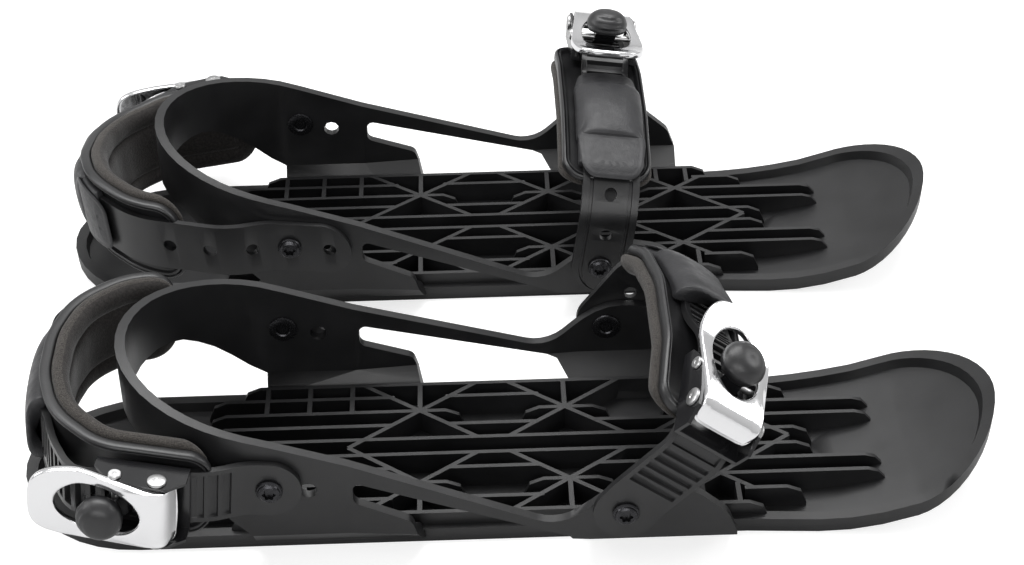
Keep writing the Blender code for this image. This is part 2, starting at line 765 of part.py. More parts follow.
def buckle_strap(strap, wall):
    """The strap from the outer pivot to the buckle: smooth end, step, then flex ridges."""
    half = STRAP_HALF_WIDTH
    last = strap.pin + BUCKLE_STRAP_TUCK
    step_place = STRAP_END + BUCKLE_STRAP_STEP
    ridge_end = strap.pin + BASE_REAR
    stops = []
    place = step_place
    while place + FLEX_PITCH < max(ridge_end, step_place + 2.2 * FLEX_PITCH):
        stops += [place + FLEX_PITCH * 0.30, place + FLEX_PITCH * 0.42, place + FLEX_PITCH * 0.88]
        place += FLEX_PITCH
    grooves = [stops[index] for index in range(1, len(stops), 3)]

    def section(s):
        width = min(half, rounded_half(s, 0.0, half))
        low_cut = any(groove - 1e-6 <= s <= groove + FLEX_PITCH * 0.2 for groove in grooves)
        high = STRAP_THICKNESS - (FLEX_DEPTH if low_cut else 0.0)
        return rectangle(width, 0.0, high)

    band = strap.sweep(0.0, last, section, round_end_stops(0.0, 1, half) + stops)
    return combine(band, [pivot_drill(wall)], "DIFFERENCE")


def ladder_strap(strap):
    """The toothed strap: it leaves the sleeve, climbs on to the buckle's floor and ends there."""
    first = strap.pin + LADDER_START
    last = strap.sleeve[0] + LADDER_TUCK
    floor = STRAP_THICKNESS + GAP + BASE_PLATE + GAP
    climb = (strap.pin + BASE_FRONT + 0.001, strap.sleeve[0] - 0.004)
    stops = list(climb)
    place = first + 0.003
    while place < strap.sleeve[0] - TOOTH_PITCH:
        stops += [place, place + TOOTH_PITCH * 0.18]
        place += TOOTH_PITCH
    crests = [stops[index] for index in range(2, len(stops), 2)]
    valleys = [stops[index] for index in range(3, len(stops), 2)]

    def section(s):
        ease = between(s, climb[0], climb[1])
        low = strap.level_over_buckle(min(s, climb[0] + 0.004), floor) * (1 - ease * ease * (3 - 2 * ease))
        tooth = 0.0
        if any(abs(s - valley) < 1e-6 for valley in valleys):
            tooth = TOOTH_DEPTH
        elif crests[0] <= s <= crests[-1] and not any(abs(s - crest) < 1e-6 for crest in crests):
            behind = max(crest for crest in crests if crest <= s)
            tooth = TOOTH_DEPTH * (1 - between(s, behind + TOOTH_PITCH * 0.18, behind + TOOTH_PITCH))
        high = low + LADDER_THICKNESS
        half = LADDER_HALF_WIDTH
        inside = half - LADDER_RAIL
        return [(-half, low), (half, low), (half, high), (inside, high - tooth), (-inside, high - tooth), (-half, high)]

    return strap.sweep(first, last, section, stops)


def cover(strap):
    """The shell that carries the pad, with piped rails, and the sleeve that holds both straps."""
    first, last = strap.liner
    mouth, end = strap.sleeve
    top = -GAP
    tunnel = STRAP_HALF_WIDTH + GAP
    tunnel_high = LADDER_THICKNESS + GAP
    mesh = bmesh.new()

    def points(s, section):
        return [mesh.verts.new(point) for point in strap.ring_at(s, section)]

    def edges(s):
        """The shell's two edges: full width, drawn in towards both ends."""
        near = min(between(s, first, first + 0.010), between(s, last, last - 0.014))
        wide = SHELL_HALF_WIDTH * (0.93 + 0.07 * math.sin(near * math.pi / 2))
        return wide + strap.set_back, -wide + strap.set_back

    def shell_row(s):
        low = top - SHELL_THICKNESS
        sides = []
        for edge, way in zip(edges(s), (1, -1)):
            rail = edge - way * RAIL_WIDTH
            sides.append([(edge, low), (edge, RAIL_HEIGHT), (rail, RAIL_HEIGHT), (rail - way * 0.0004, top),
                          (way * (tunnel - 0.0002), top)])
        return points(s, sides[0] + sides[1][::-1])

    def mouth_lift(s):
        return MOUTH_LIFT * (1 - between(s, mouth, mouth + 0.016)) ** 2

    def arch(s):
        near = min(between(s, mouth, mouth + 0.020), between(s, end, end - 0.016))
        crown = tunnel_high + mouth_lift(s) + SLEEVE_WALL * (1 + 0.9 * math.sin(near * math.pi / 2))
        wide = SLEEVE_HALF_WIDTH
        right = [(wide, tunnel_high * 0.8), (wide - 0.0026, crown * 0.88), (wide * 0.42, crown)]
        return points(s, right + [(-w, n) for w, n in reversed(right)])

    def roof(s):
        side = tunnel - 0.0002
        high = tunnel_high + mouth_lift(s)
        return points(s, [(side, tunnel_high), (side * 0.5, high), (-side * 0.5, high), (-side, tunnel_high)])

    def band(low, high):
        for index in range(len(low)):
            after = (index + 1) % len(low)
            mesh.faces.new((low[index], low[after], high[after], high[index]))

    def whole_row(s):
        """The shell's ring, and the outer and tunnel rings of the sleeve over it."""
        shell, over, inside = shell_row(s), arch(s), roof(s)
        outer = shell[0:4] + over + shell[6:10]
        return shell, outer, [shell[4], shell[5]] + inside[::-1]

    def end_face(shell, outer, hole):
        mesh.faces.new(outer[3:-3] + hole[1:] + hole[:1])

    before = [shell_row(s) for s in strap.line.stops(first, mouth - 3e-4, (first + 0.008,))]
    inner_stops = strap.line.stops(mouth, end, (mouth + 0.007, mouth + 0.016, end - 0.009))
    inside = [whole_row(s) for s in inner_stops]
    after = [shell_row(s) for s in strap.line.stops(end + 3e-4, last, (last - 0.008,))]
    for low, high in zip(before + [inside[0][0]], before[1:] + [inside[0][0]]):
        if low is not high:
            band(low, high)
    for low, high in zip(inside, inside[1:]):
        band(low[1], high[1])
        band(low[2], high[2])
    for low, high in zip([inside[-1][0]] + after, after):
        band(low, high)
    end_face(*inside[0])
    end_face(*inside[-1])
    mesh.faces.new(before[0])
    mesh.faces.new(after[-1])
    return finished(mesh)


def pad(strap, start_taper, end_taper):
    """The lining: crowned, drawn in at its sides and ends, with two stitched channels."""
    first = strap.liner[0] + 0.001
    last = strap.liner[1] + 0.001
    top = -GAP - SHELL_THICKNESS - GAP

    def section(s):
        start = between(s, first, first + start_taper)
        end = between(s, last, last - end_taper)
        deep = PAD_DEPTH * (0.36 + 0.64 * math.sin(min(start, end) * math.pi / 2))
        tip = min(between(s, first, first + 0.012), between(s, last, last - 0.018))
        wide = PAD_HALF_WIDTH * (0.72 + 0.28 * math.sin(tip * math.pi / 2))
        seam = PAD_SEAM_DEPTH * deep / PAD_DEPTH
        channel = PAD_SEAM_OFFSET * wide / PAD_HALF_WIDTH
        half = [(0.0, deep), (0.36 * wide, deep * 0.985), (channel, deep * 0.94 - seam),
                (0.72 * wide, deep * 0.93), (0.96 * wide, deep * 0.62), (0.96 * wide, 0.0)]
        right = [(w + strap.set_back, top - depth) for w, depth in half]
        left = [(-w + strap.set_back, top - depth) for w, depth in reversed(half[1:])]
        return left + right

    extra = [first + start_taper * share for share in (0.15, 0.5)]
    extra += [last - end_taper * share for share in (0.15, 0.5)]
    return strap.sweep(first, last, section, extra)


# Ratchet buckle, drawn from the foot of its lever pin: x across, y along the strap, z outwards

FLOOR_LOW = STRAP_THICKNESS + GAP
FLOOR_HIGH = FLOOR_LOW + BASE_PLATE
LEVER_PIN_Z = FLOOR_HIGH + LEVER_PIN_HEIGHT
TONGUE_PIN_Z = FLOOR_HIGH + TONGUE_PIN_HEIGHT


def buckle_base():
    """A floor between two side plates, with holes for both pins."""
    inner = BASE_HALF - SIDE_PLATE
    outline = [(BASE_REAR, FLOOR_LOW), (BASE_FRONT, FLOOR_LOW), (BASE_FRONT, FLOOR_LOW + 0.006),
               (TONGUE_PIN_STEP + 0.006, TONGUE_PIN_Z - 0.001), (TONGUE_PIN_STEP + 0.001, TONGUE_PIN_Z + 0.0027),
               (0.004, LEVER_PIN_Z + 0.0042), (-0.005, LEVER_PIN_Z + 0.0040), (BASE_REAR, LEVER_PIN_Z - 0.002)]
    channel = prism(outline, 0, -BASE_HALF, BASE_HALF)
    well = block((-inner, BASE_REAR - 0.01, FLOOR_HIGH), (inner, BASE_FRONT + 0.01, LEVER_PIN_Z + 0.02))
    channel = combine(channel, [well], "DIFFERENCE")
    reach = BASE_HALF + 0.01
    holes = joined([rod(LEVER_PIN_RADIUS + GAP, -reach, reach, 0, (0.0, LEVER_PIN_Z), 8),
                    rod(TONGUE_PIN_RADIUS + GAP, -reach, reach, 0, (TONGUE_PIN_STEP, TONGUE_PIN_Z), 8)])
    return combine(channel, [holes], "DIFFERENCE")


def pin(radius, head):
    """A riveted pin across the buckle, centred on its own axis."""
    seat = BASE_HALF + GAP
    end = seat + PIN_HEAD_THICKNESS
    discs = ((head * 0.85, -end), (head, -seat), (radius, -seat), (radius, seat), (head, seat), (head * 0.85, end))
    form = turned(discs, 8)
    form.transform(Matrix.Rotation(math.radians(-90), 4, "Z"))
    return form


def lever_line():
    """The lever's outer face from the side: nose, hump over the pins, dip and lifted tip."""
    corners = ((LEVER_NOSE, LEVER_PIN_Z - 0.0015), (-0.004, LEVER_PIN_Z + 0.0045), (0.007, LEVER_PIN_Z + 0.0080),
               (0.029, LEVER_PIN_Z + 0.0010), (LEVER_TIP, LEVER_PIN_Z + 0.0035))
    return RoundedLine(corners, (0.010, 0.014, 0.020))


def lever():
    """The lever frame: a waved plate with an oval opening and two ears on the lever pin."""
    line = lever_line()
    outer = []
    inner = []
    for s in line.stops(0.0, line.length):
        place, heading = line.place(s)
        outer.append((place.x, place.y))
        inner.append((place.x + LEVER_PLATE * math.cos(heading), place.y - LEVER_PLATE * math.sin(heading)))
    plate = prism(outer + inner[::-1], 0, -LEVER_TIP_HALF - 0.002, LEVER_TIP_HALF + 0.002)
    neck = LEVER_NECK_HALF
    wide = LEVER_TIP_HALF
    right_edge = [(neck, LEVER_NOSE - 0.005), (neck, 0.019), (wide, 0.030), (wide, LEVER_TIP - 0.012)]
    tip = [(wide * math.cos(math.radians(angle)), LEVER_TIP - 0.012 + 0.0115 * math.sin(math.radians(angle)))
           for angle in (30, 60, 120, 150)]
    left_edge = [(-x, y) for x, y in reversed(right_edge)]
    plan = prism(right_edge + tip + left_edge, 2, 0.0, LEVER_PIN_Z + 0.03)
    opening = prism(circle(OPENING_LENGTH / 2, 14, (0.0, 0.0)), 2, 0.0, LEVER_PIN_Z + 0.03)
    opening.transform(Matrix.Translation((0.0, OPENING_CENTRE, 0.0))
                      @ Matrix.Diagonal((OPENING_WIDTH / OPENING_LENGTH, 1.0, 1.0, 1.0)))
    frame = combine(combine(plate, [plan], "INTERSECT"), [opening], "DIFFERENCE")
    ears = []
    radius = LEVER_EAR_RADIUS
    cheek = corner_arc((0.0, LEVER_PIN_Z), radius, 180, 360, 6)
    cheek += [(0.0085, LEVER_PIN_Z + 0.0055), (0.0060, LEVER_PIN_Z + 0.0062), (-0.0020, LEVER_PIN_Z + 0.0040)]
    for side in (-1, 1):
        edges = sorted((side * (neck - 0.0001), side * (neck - LEVER_EAR)))
        ears.append(prism(cheek, 0, edges[0], edges[1]))
    hole = rod(LEVER_PIN_RADIUS + GAP, -0.03, 0.03, 0, (0.0, LEVER_PIN_Z), 8)
    form = combine(combine(frame, ears, "UNION"), [hole], "DIFFERENCE")
    form.transform(Matrix.Translation((0.0, 0.0, -LEVER_PIN_Z)))
    return cleaned(form)


def tongue():
    """The release tongue: a barrel on the tongue pin, a pawl over the teeth and a domed button."""
    pawl = [(-0.0060, -0.0046), (-0.0040, -0.0052), (0.0, -TONGUE_BARREL), (TONGUE_BARREL, 0.0),
            (0.0075, 0.0035), (0.0072, 0.0075), (-0.0010, 0.0075), (-0.0020, 0.0020), (-0.0045, -0.0015)]
    stem = prism(pawl, 0, -TONGUE_HALF_WIDTH * 0.8, TONGUE_HALF_WIDTH * 0.8)
    top = TONGUE_TOP - TONGUE_PIN_HEIGHT
    levels = ((0.60, 0.0058), (1.0, 0.0088), (0.92, top * 0.84), (0.62, top * 0.97), (0.22, top))
    rings = []
    for share, height in levels:
        outline = circle(TONGUE_LENGTH / 2 * share, 10, (0.0, 0.0))
        rings.append([(x * TONGUE_HALF_WIDTH * 2 / TONGUE_LENGTH, y + 0.0035, height) for x, y in outline])
    form = combine(stem, [skin(rings)], "UNION")
    hole = rod(TONGUE_PIN_RADIUS + GAP, -0.03, 0.03, 0, (0.0, 0.0), 8)
    return cleaned(combine(form, [hole], "DIFFERENCE"))


# Screws and tee nuts, drawn from the wall's outer face with +Y into the ski

def screw():
    seat = -(GAP + STRAP_THICKNESS + GAP)
    head = SCREW_HEAD_RADIUS
    tall = SCREW_HEAD_HEIGHT
    discs = ((head * 0.72, seat - tall), (head, seat - tall * 0.45), (head, seat),
             (SHANK_RADIUS, seat), (SHANK_RADIUS, WALL_THICKNESS + 0.0005))
    half = RECESS_WIDTH / 2
    arm = RECESS_LENGTH / 2
    floor = seat - tall + RECESS_DEPTH
    outline = [(arm, half), (half, half), (half, arm), (-half, arm), (-half, half), (-arm, half),
               (-arm, -half), (-half, -half), (-half, -arm), (half, -arm), (half, -half), (arm, -half)]
    return combine(turned(discs, 10), [prism(outline, 1, seat - tall - 0.002, floor)], "DIFFERENCE")


def nut():
    flange = WALL_THICKNESS + GAP
    bore = SHANK_RADIUS + GAP
    profile = [(bore, 0.0008), (NUT_BARREL_RADIUS, 0.0008), (NUT_BARREL_RADIUS, flange),
               (NUT_FLANGE_RADIUS, flange), (NUT_FLANGE_RADIUS, flange + NUT_FLANGE), (bore, flange + NUT_FLANGE)]
    return ring(profile, 8)


# Materials and assembly

def material(name, colour, roughness, metallic=0.0):
    made = bpy.data.materials.new(name)
    made.use_nodes = True
    shader = made.node_tree.nodes["Principled BSDF"]
    shader.inputs["Base Color"].default_value = colour
    shader.inputs["Roughness"].default_value = roughness
    shader.inputs["Metallic"].default_value = metallic
    return made


FINISHES = {
    "ski_body": (BLACK_PLASTIC, 0.45, 0.0),
    "adjust_strap": (BLACK_PLASTIC, 0.4, 0.0),
    "buckle_strap": (BLACK_PLASTIC, 0.4, 0.0),
    "ladder_strap": (BLACK_PLASTIC, 0.35, 0.0),
    "cover": (LEATHER, 0.55, 0.0),
    "pad": (FELT, 0.95, 0.0),
    "buckle_base": (BLACK_PLASTIC, 0.25, 0.0),
    "lever": (CHROME, 0.12, 1.0),
    "tongue": (RUBBER, 0.5, 0.0),
    "pin": (STEEL, 0.25, 1.0),
    "screw": (BLACK_PLASTIC, 0.3, 0.8),
    "nut": (STEEL, 0.3, 1.0),
}


def mirrored(data):
    """The same form on the other side of the XZ plane."""
    copy = data.copy()
    copy.transform(Matrix.Diagonal((1.0, -1.0, 1.0, 1.0)))
    copy.flip_normals()
    return copy


def empty(name, parent, location, rotation=(0.0, 0.0, 0.0)):
    made = bpy.data.objects.new(name, None)
    made.location = location
    made.rotation_euler = rotation
    made.parent = parent
    bpy.context.scene.collection.objects.link(made)
    return made


def piece(name, data, finish, parent, location=(0.0, 0.0, 0.0), rotation=(0.0, 0.0, 0.0)):
    data = data.copy()
    data.name = name
    colour, roughness, metallic = FINISHES[finish]
    data.materials.clear()
    data.materials.append(material(name, colour, roughness, metallic))
    data.shade_smooth()
    data.set_sharp_from_angle(angle=math.radians(35))
    made = bpy.data.objects.new(name, data)
    made.location = location
    made.rotation_euler = rotation
    made.parent = parent
    bpy.context.scene.collection.objects.link(made)
    return made


def strap_forms(strap, wall, holes_ahead, holes_behind, pad_tapers):
    return {
        "adjust_strap": adjust_strap(strap, holes_ahead, holes_behind),
        "pad": pad(strap, *pad_tapers),
        "cover": cover(strap),
        "ladder_strap": ladder_strap(strap),
        "buckle_strap": buckle_strap(strap, wall),
    }


def place_strap(name, side, ski, pivot, swing, wall, strap, forms, hardware):
    """One strap with its buckle and fasteners. side is -1 on the right ski and 1 on the left."""
    keep = mirrored if side > 0 else (lambda data: data)
    axis = empty(name + "_axis", ski, (pivot[0], 0.0, pivot[1]), (0.0, swing, 0.0))
    for form, data in forms.items():
        piece(name + "_" + form, keep(data), form, axis)
    seat, heading = strap.line.place(strap.pin)
    tilt = math.pi / 2 - heading
    buckle = empty(name + "_buckle", axis, (0.0, -side * seat.x, seat.y), (-side * tilt, 0.0, 0.0))
    piece(name + "_buckle_base", keep(hardware["buckle_base"]), "buckle_base", buckle)
    lever_place = (0.0, 0.0, LEVER_PIN_Z)
    tongue_place = (0.0, -side * TONGUE_PIN_STEP, TONGUE_PIN_Z)
    piece(name + "_lever", keep(hardware["lever"]), "lever", buckle, lever_place)
    piece(name + "_lever_pin", hardware["lever_pin"], "pin", buckle, lever_place)
    piece(name + "_tongue", keep(hardware["tongue"]), "tongue", buckle, tongue_place)
    piece(name + "_tongue_pin", hardware["tongue_pin"], "pin", buckle, tongue_place)
    for position, outward in (("outer", side), ("inner", -side)):
        turn = 0.0 if outward < 0 else math.pi
        place = (pivot[0], outward * wall, pivot[1])
        piece(f"{name}_{position}_screw", hardware["screw"], "screw", ski, place, (0.0, 0.0, turn))
        piece(f"{name}_{position}_nut", hardware["nut"], "nut", ski, place, (0.0, 0.0, turn))


def build():
    middle = (TAIL_X + TIP_X) / 2
    body = ski_body()
    hardware = {
        "buckle_base": buckle_base(), "lever": lever(), "tongue": tongue(),
        "lever_pin": pin(LEVER_PIN_RADIUS, LEVER_PIN_HEAD),
        "tongue_pin": pin(TONGUE_PIN_RADIUS, TONGUE_PIN_HEAD),
        "screw": screw(), "nut": nut(),
    }
    heel_pivot = (HEEL_PIVOT_X, HEEL_PIVOT_Z)
    toe_pivot = (TOE_PIVOT_X, TOE_PIVOT_Z)
    skis = (
        ("right", -1, HEEL_STRAP_RISE, 0.0, RIGHT_TOE_LEAN, RIGHT_TOE_CORNER, RIGHT_TOE_CROWN, RIGHT_TOE_MOUTH),
        ("left", 1, LEFT_HEEL_RISE, HEEL_STRAP_RISE - LEFT_HEEL_RISE, LEFT_TOE_LEAN, LEFT_TOE_CORNER,
         LEFT_TOE_CROWN, LEFT_TOE_MOUTH),
    )
    for name, side, heel_rise, heel_twist, toe_lean, toe_corner, toe_crown, toe_mouth in skis:
        ski = empty(name + "_ski", None, (-middle, side * SKI_SPACING / 2, 0.0))
        piece(name + "_ski_body", mirrored(body) if side > 0 else body, "ski_body", ski)
        heel = heel_strap(heel_twist)
        heel_forms = strap_forms(heel, HEEL_WALL_HALF, 1, 3, (HEEL_PAD_TAPER, 0.016))
        place_strap(name + "_heel", side, ski, heel_pivot, heel_rise - math.pi / 2,
                    HEEL_WALL_HALF, heel, heel_forms, hardware)
        toe = toe_strap(toe_corner, toe_crown, toe_mouth)
        toe_forms = strap_forms(toe, TOE_WALL_HALF, 0, 2, (0.014, 0.014))
        place_strap(name + "_toe", side, ski, toe_pivot, toe_lean, TOE_WALL_HALF, toe, toe_forms, hardware)


build()
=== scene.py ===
"""Looks of the pair of mini skis: the moulded bodies keep their CAD solids, and the straps,
pads, covers, buckles and fasteners get full detail in the same places.

A strap is drawn along its strap line, from the outer pivot over the foot to the inner pivot:
s is the distance along it, w across it, and n the height above it, outwards.
"""
import json
import math

import bmesh
import bpy
from mathutils import Matrix, Vector


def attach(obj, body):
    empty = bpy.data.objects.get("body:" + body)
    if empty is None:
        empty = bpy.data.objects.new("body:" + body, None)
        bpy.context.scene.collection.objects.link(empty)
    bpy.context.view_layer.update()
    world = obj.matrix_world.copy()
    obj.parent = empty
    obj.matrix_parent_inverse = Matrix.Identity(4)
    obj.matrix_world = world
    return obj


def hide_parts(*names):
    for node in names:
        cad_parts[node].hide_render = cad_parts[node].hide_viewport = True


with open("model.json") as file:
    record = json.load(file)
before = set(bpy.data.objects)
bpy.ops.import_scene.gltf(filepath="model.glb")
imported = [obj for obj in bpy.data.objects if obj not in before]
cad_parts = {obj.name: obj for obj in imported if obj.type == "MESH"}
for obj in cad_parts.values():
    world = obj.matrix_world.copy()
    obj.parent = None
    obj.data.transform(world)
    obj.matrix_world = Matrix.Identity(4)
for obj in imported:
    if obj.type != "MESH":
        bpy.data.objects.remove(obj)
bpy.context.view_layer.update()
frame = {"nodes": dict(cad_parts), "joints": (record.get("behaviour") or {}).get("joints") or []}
NODES = frame["nodes"]
JOINTS = {joint["name"]: joint for joint in frame["joints"]}

# Camera, fitted to the photograph
CAMERA_PLACE = (-0.0123, -0.8885, 0.6848)
CAMERA_DOWN = math.radians(36.0)
CAMERA_TURN = math.radians(1.112)
CAMERA_ROLL = math.radians(-1.093)
CAMERA_LENS = 79.28
CAMERA_SENSOR = 36.0

# Lamps: name, place, target, size and power
LAMPS = (
    ("above", (-0.1, 0.55, 1.6), (0.0, 0.0, 0.0), (1.9, 1.0), 36.0),
    ("front", (-0.2, -1.7, 0.95), (0.0, 0.0, 0.03), (1.7, 0.6), 13.0),
    ("tips", (1.6, 0.2, 0.9), (0.0, 0.0, 0.03), (0.9, 0.7), 9.0),
    ("heels", (-1.6, 0.2, 0.9), (0.0, 0.0, 0.03), (0.9, 0.7), 9.0))

# Background, and how much of it metal shows
WHITE = (1.0, 1.0, 1.0, 1.0)
FLOOR_HALF = 6.0
FLOOR_COLOUR = (0.50, 0.50, 0.50, 1.0)
FLOOR_GLOW = 0.72
FLOOR_IN_METAL = 0.22
SKY_IN_METAL = 0.5
SKY_HEIGHTS = (0.05, 0.75)
SKY_LEVELS = (0.10, 0.55)

# Strap lines, as corners (u across the ski, h away from the pivot) and the radius at each
GAP = 0.0003
HEEL_PIVOT_U = 0.0588
TOE_PIVOT_U = 0.0678
STRAP_END = 0.014
HEEL_ADJUST_END = 0.030
HEEL_CORNERS = [
    (-HEEL_PIVOT_U, -STRAP_END), (-HEEL_PIVOT_U, 0.010), (-0.0665, 0.028), (-0.0605, 0.073),
    (-0.040, 0.0950), (-0.014, 0.1020), (0.014, 0.1020), (0.040, 0.0950), (0.0605, 0.073),
    (0.0665, 0.029), (HEEL_PIVOT_U, 0.010), (HEEL_PIVOT_U, -HEEL_ADJUST_END)]
HEEL_RADII = (0.030, 0.035, 0.030, 0.045, 0.060, 0.060, 0.045, 0.035, 0.035, 0.030)
TOE_RADII = (0.030, 0.010, 0.040, 0.050, 0.030, 0.024, 0.012, 0.100)
SEARCH_STEP = 0.0005

# Places on the strap lines: heights h, and distances past the buckle's pin
HEEL_PIN_H = 0.044
HEEL_LINER_H = (0.024, 0.052)
HEEL_SLEEVE_END_H = 0.089
HEEL_MOUTH = 0.070
LEFT_HEEL_TWIST = math.radians(10.0)
TOE_OUTER_CORNERS = {"right": (-0.0755, 0.0515), "left": (-0.0690, 0.0450)}
TOE_CROWNS = {"right": 0.0630, "left": 0.0530}
TOE_MOUTHS = {"right": 0.069, "left": 0.044}
TOE_PIN_INSET = 0.008
TOE_LINER_END_H = 0.042
TOE_SLEEVE_END_H = 0.045
TOE_SET_BACK = -0.002
OUTWARDS = {"right": 1.0, "left": -1.0}

# Bands
STATION = 0.0022
ROUND_END_HALF = 0.0006
BAND_HALF = 0.014
BAND_THICKNESS = 0.003
HOLE_RADIUS = 0.0031
HOLE_PITCH = 0.0195
EDGE_RAIL = 0.0034
EDGE_RAIL_RISE = 0.0002
EDGE_GROOVE = 0.0019
EDGE_GROOVE_DEPTH = 0.0009
FLEX_START = 0.031
FLEX_PITCH = 0.0056
FLEX_HALF = 0.0114
FLEX_DEPTH = 0.0013
FLEX_LOW, FLEX_RISE, FLEX_END = 0.16, 0.34, 0.95
FLEX_SHAPE = ((0.0, 0.0), (0.10, 0.0), (FLEX_LOW, 1.0), (FLEX_RISE, 1.0), (FLEX_END, 0.0))
BUCKLE_STRAP_TUCK = 0.012
LADDER_START = 0.0020
LADDER_HALF = 0.012
LADDER_THICKNESS = 0.0032
LADDER_RAIL = 0.0026
LADDER_TUCK = 0.020
TOOTH_PITCH = 0.0047
TOOTH_DEPTH = 0.0023
TOOTH_SHAPE = ((0.02, 0.0), (0.30, 0.0), (0.34, 1.0), (0.82, 1.0), (0.98, 0.0))

# Padded cover
SHELL_HALF = 0.022
SHELL_THICKNESS = 0.0025
SHELL_CORNER = 0.0115
RAIL_WIDTH = 0.0036
PAD_HALF = 0.0234
PAD_DEPTH = 0.0078
PAD_CORNER = 0.013
PAD_SEAM = 0.0102
PAD_SEAM_RISE = 0.0018
PAD_END_SHARE = 0.45
FELT_RANKS = {"heel": 4, "toe": 6}
SLEEVE_HALF = 0.0172
SLEEVE_WALL = 0.0013
SLEEVE_STATION = 0.0020
SLEEVE_ARC = [math.radians(angle) for angle in range(0, 181, 9)]
SEAM_PINCH = 0.0011
MOUTH_RISES = {"heel": 0.0036, "toe": 0.0062}
PUFF_RISES = {"heel": 0.0014, "toe": 0.0028}
HOOD_LENGTH = 0.022
FLAT_MOUTH = 0.011
TAB_LENGTH = 0.0235
TAB_CORNER = 0.0075
TAB_TUCK = 0.006
TAB_TAPER = 0.16
FLAP_LENGTH = 0.017
STITCH_PITCH = 0.0034
STITCH_LENGTH = 0.0022
STITCH_RADIUS = 0.00028
STITCH_LIFTS = (0.0002, -0.0001, 0.0002)

# Cloth simulation, run at ten times the size
SIM_SCALE = 10.0
SIM_FRAMES = 14
PAD_SWELL = (9.0, 0.0009)
SLEEVE_SWELL = (6.0, 0.0012)

# Buckle: x across, y along the strap from the lever's pin, z outwards
BASE_PLATE = 0.0020
BASE_FRONT = 0.028
FLOOR_HIGH = BAND_THICKNESS + GAP + BASE_PLATE
LEVER_PIN_Z = FLOOR_HIGH + 0.0094
LEVER_PIN_RADIUS = 0.0022
LEVER_PIN_HEAD = 0.0041
TONGUE_PIN_Y = 0.018
TONGUE_PIN_Z = FLOOR_HIGH + 0.0088
TONGUE_PIN_RADIUS = 0.0015
TONGUE_PIN_HEAD = 0.0029
PIN_SEAT = 0.0170
PIN_HEAD = 0.0012
LEVER_NOSE = -0.0080
LEVER_TIP = 0.0550
LEVER_NECK = 0.0150
LEVER_WIDE = 0.0187
LEVER_PLATE = 0.0014
LEVER_HEIGHTS = (
    (-0.0082, -0.0024), (-0.0050, 0.0044), (-0.0040, 0.0056), (-0.0025, 0.0062), (0.004, 0.0070),
    (0.013, 0.0062), (0.024, 0.0032), (0.034, 0.0014), (0.045, 0.0022), (0.056, 0.0040))
OPENING_MIDDLE = 0.0250
OPENING_REACH = 0.0190
OPENING_HALF = 0.0126
EAR_RADIUS = 0.0043
EAR_FACES = (0.0122, 0.0137)
BALL_STEP = 0.0045
BALL_HALF = 0.0112
BALL_REACH = 0.0106
BALL_FOOT = 0.0052
BALL_TOP = 0.0158
GRIP_RIB = 0.00045
PAWL_HALF = 0.0053
PAWL_BORE = 0.0018
PAWL_OUTLINE = (
    (-0.0060, -0.0046), (-0.0040, -0.0052), (0.0, -0.0031), (0.0024, -0.0020), (0.0031, 0.0),
    (0.0075, 0.0035), (0.0078, 0.0060), (-0.0010, 0.0060), (-0.0020, 0.0020), (-0.0045, -0.0015))

# Fasteners, as points (radius, reach outwards from the wall)
SCREW_SEAT = 0.0036
SCREW_TOP = 0.0064
SCREW_HEAD = (
    (0.0027, -0.0050), (0.0027, SCREW_SEAT), (0.0058, SCREW_SEAT), (0.0058, SCREW_SEAT + 0.0008),
    (0.0054, SCREW_SEAT + 0.0014), (0.0050, SCREW_SEAT + 0.0015), (0.0047, SCREW_SEAT + 0.0022),
    (0.0038, SCREW_TOP))
SCREW_RECESS = (
    (0.0026, SCREW_TOP + 0.00001), (0.0025, SCREW_TOP - 0.00021), (0.0022, SCREW_TOP - 0.0016))
RECESS_WAVE = 0.16
NUT_BORE, NUT_BARREL, NUT_FLANGE = 0.0030, 0.0040, 0.0068
NUT_SECTION = (
    (NUT_BORE, -0.0008), (NUT_BARREL, -0.0008), (NUT_BARREL, -0.0048), (NUT_FLANGE - 0.0004, -0.0048),
    (NUT_FLANGE, -0.0052), (NUT_FLANGE - 0.0002, -0.0058), (NUT_FLANGE - 0.0009, -0.0061),
    (NUT_BORE + 0.0006, -0.0061), (NUT_BORE, -0.0057))

# Moulded plastics: dark and light colour, least and most roughness, grain and its depth
PLASTICS = {
    "ski": ((0.0055, 0.0055, 0.0060), (0.010, 0.010, 0.0108), 0.33, 0.46, 2600.0, 0.00005),
    "strap": ((0.0075, 0.0075, 0.0080), (0.013, 0.013, 0.0138), 0.30, 0.44, 2200.0, 0.00004),
    "ladder": ((0.008, 0.008, 0.0085), (0.013, 0.013, 0.0138), 0.24, 0.34, 1800.0, 0.00002),
    "shell": ((0.009, 0.009, 0.0098), (0.016, 0.016, 0.017), 0.30, 0.42, 1500.0, 0.00005),
    "buckle": ((0.008, 0.008, 0.009), (0.012, 0.012, 0.013), 0.14, 0.22, 900.0, 0.000015)}


# Finishes

def fed(node, inputs):
    """The node, each of its inputs given a constant or the socket that feeds it."""
    for socket, value in inputs.items():
        if isinstance(value, bpy.types.NodeSocket):
            node.id_data.links.new(value, node.inputs[socket])
        else:
            node.inputs[socket].default_value = value
    return node


def map_range(tree, value, low, high, first, last):
    """The value's stretch from low to high, spread over first to last."""
    inputs = {"Value": value, "From Min": low, "From Max": high, "To Min": first, "To Max": last}
    return fed(tree.nodes.new("ShaderNodeMapRange"), inputs).outputs["Result"]


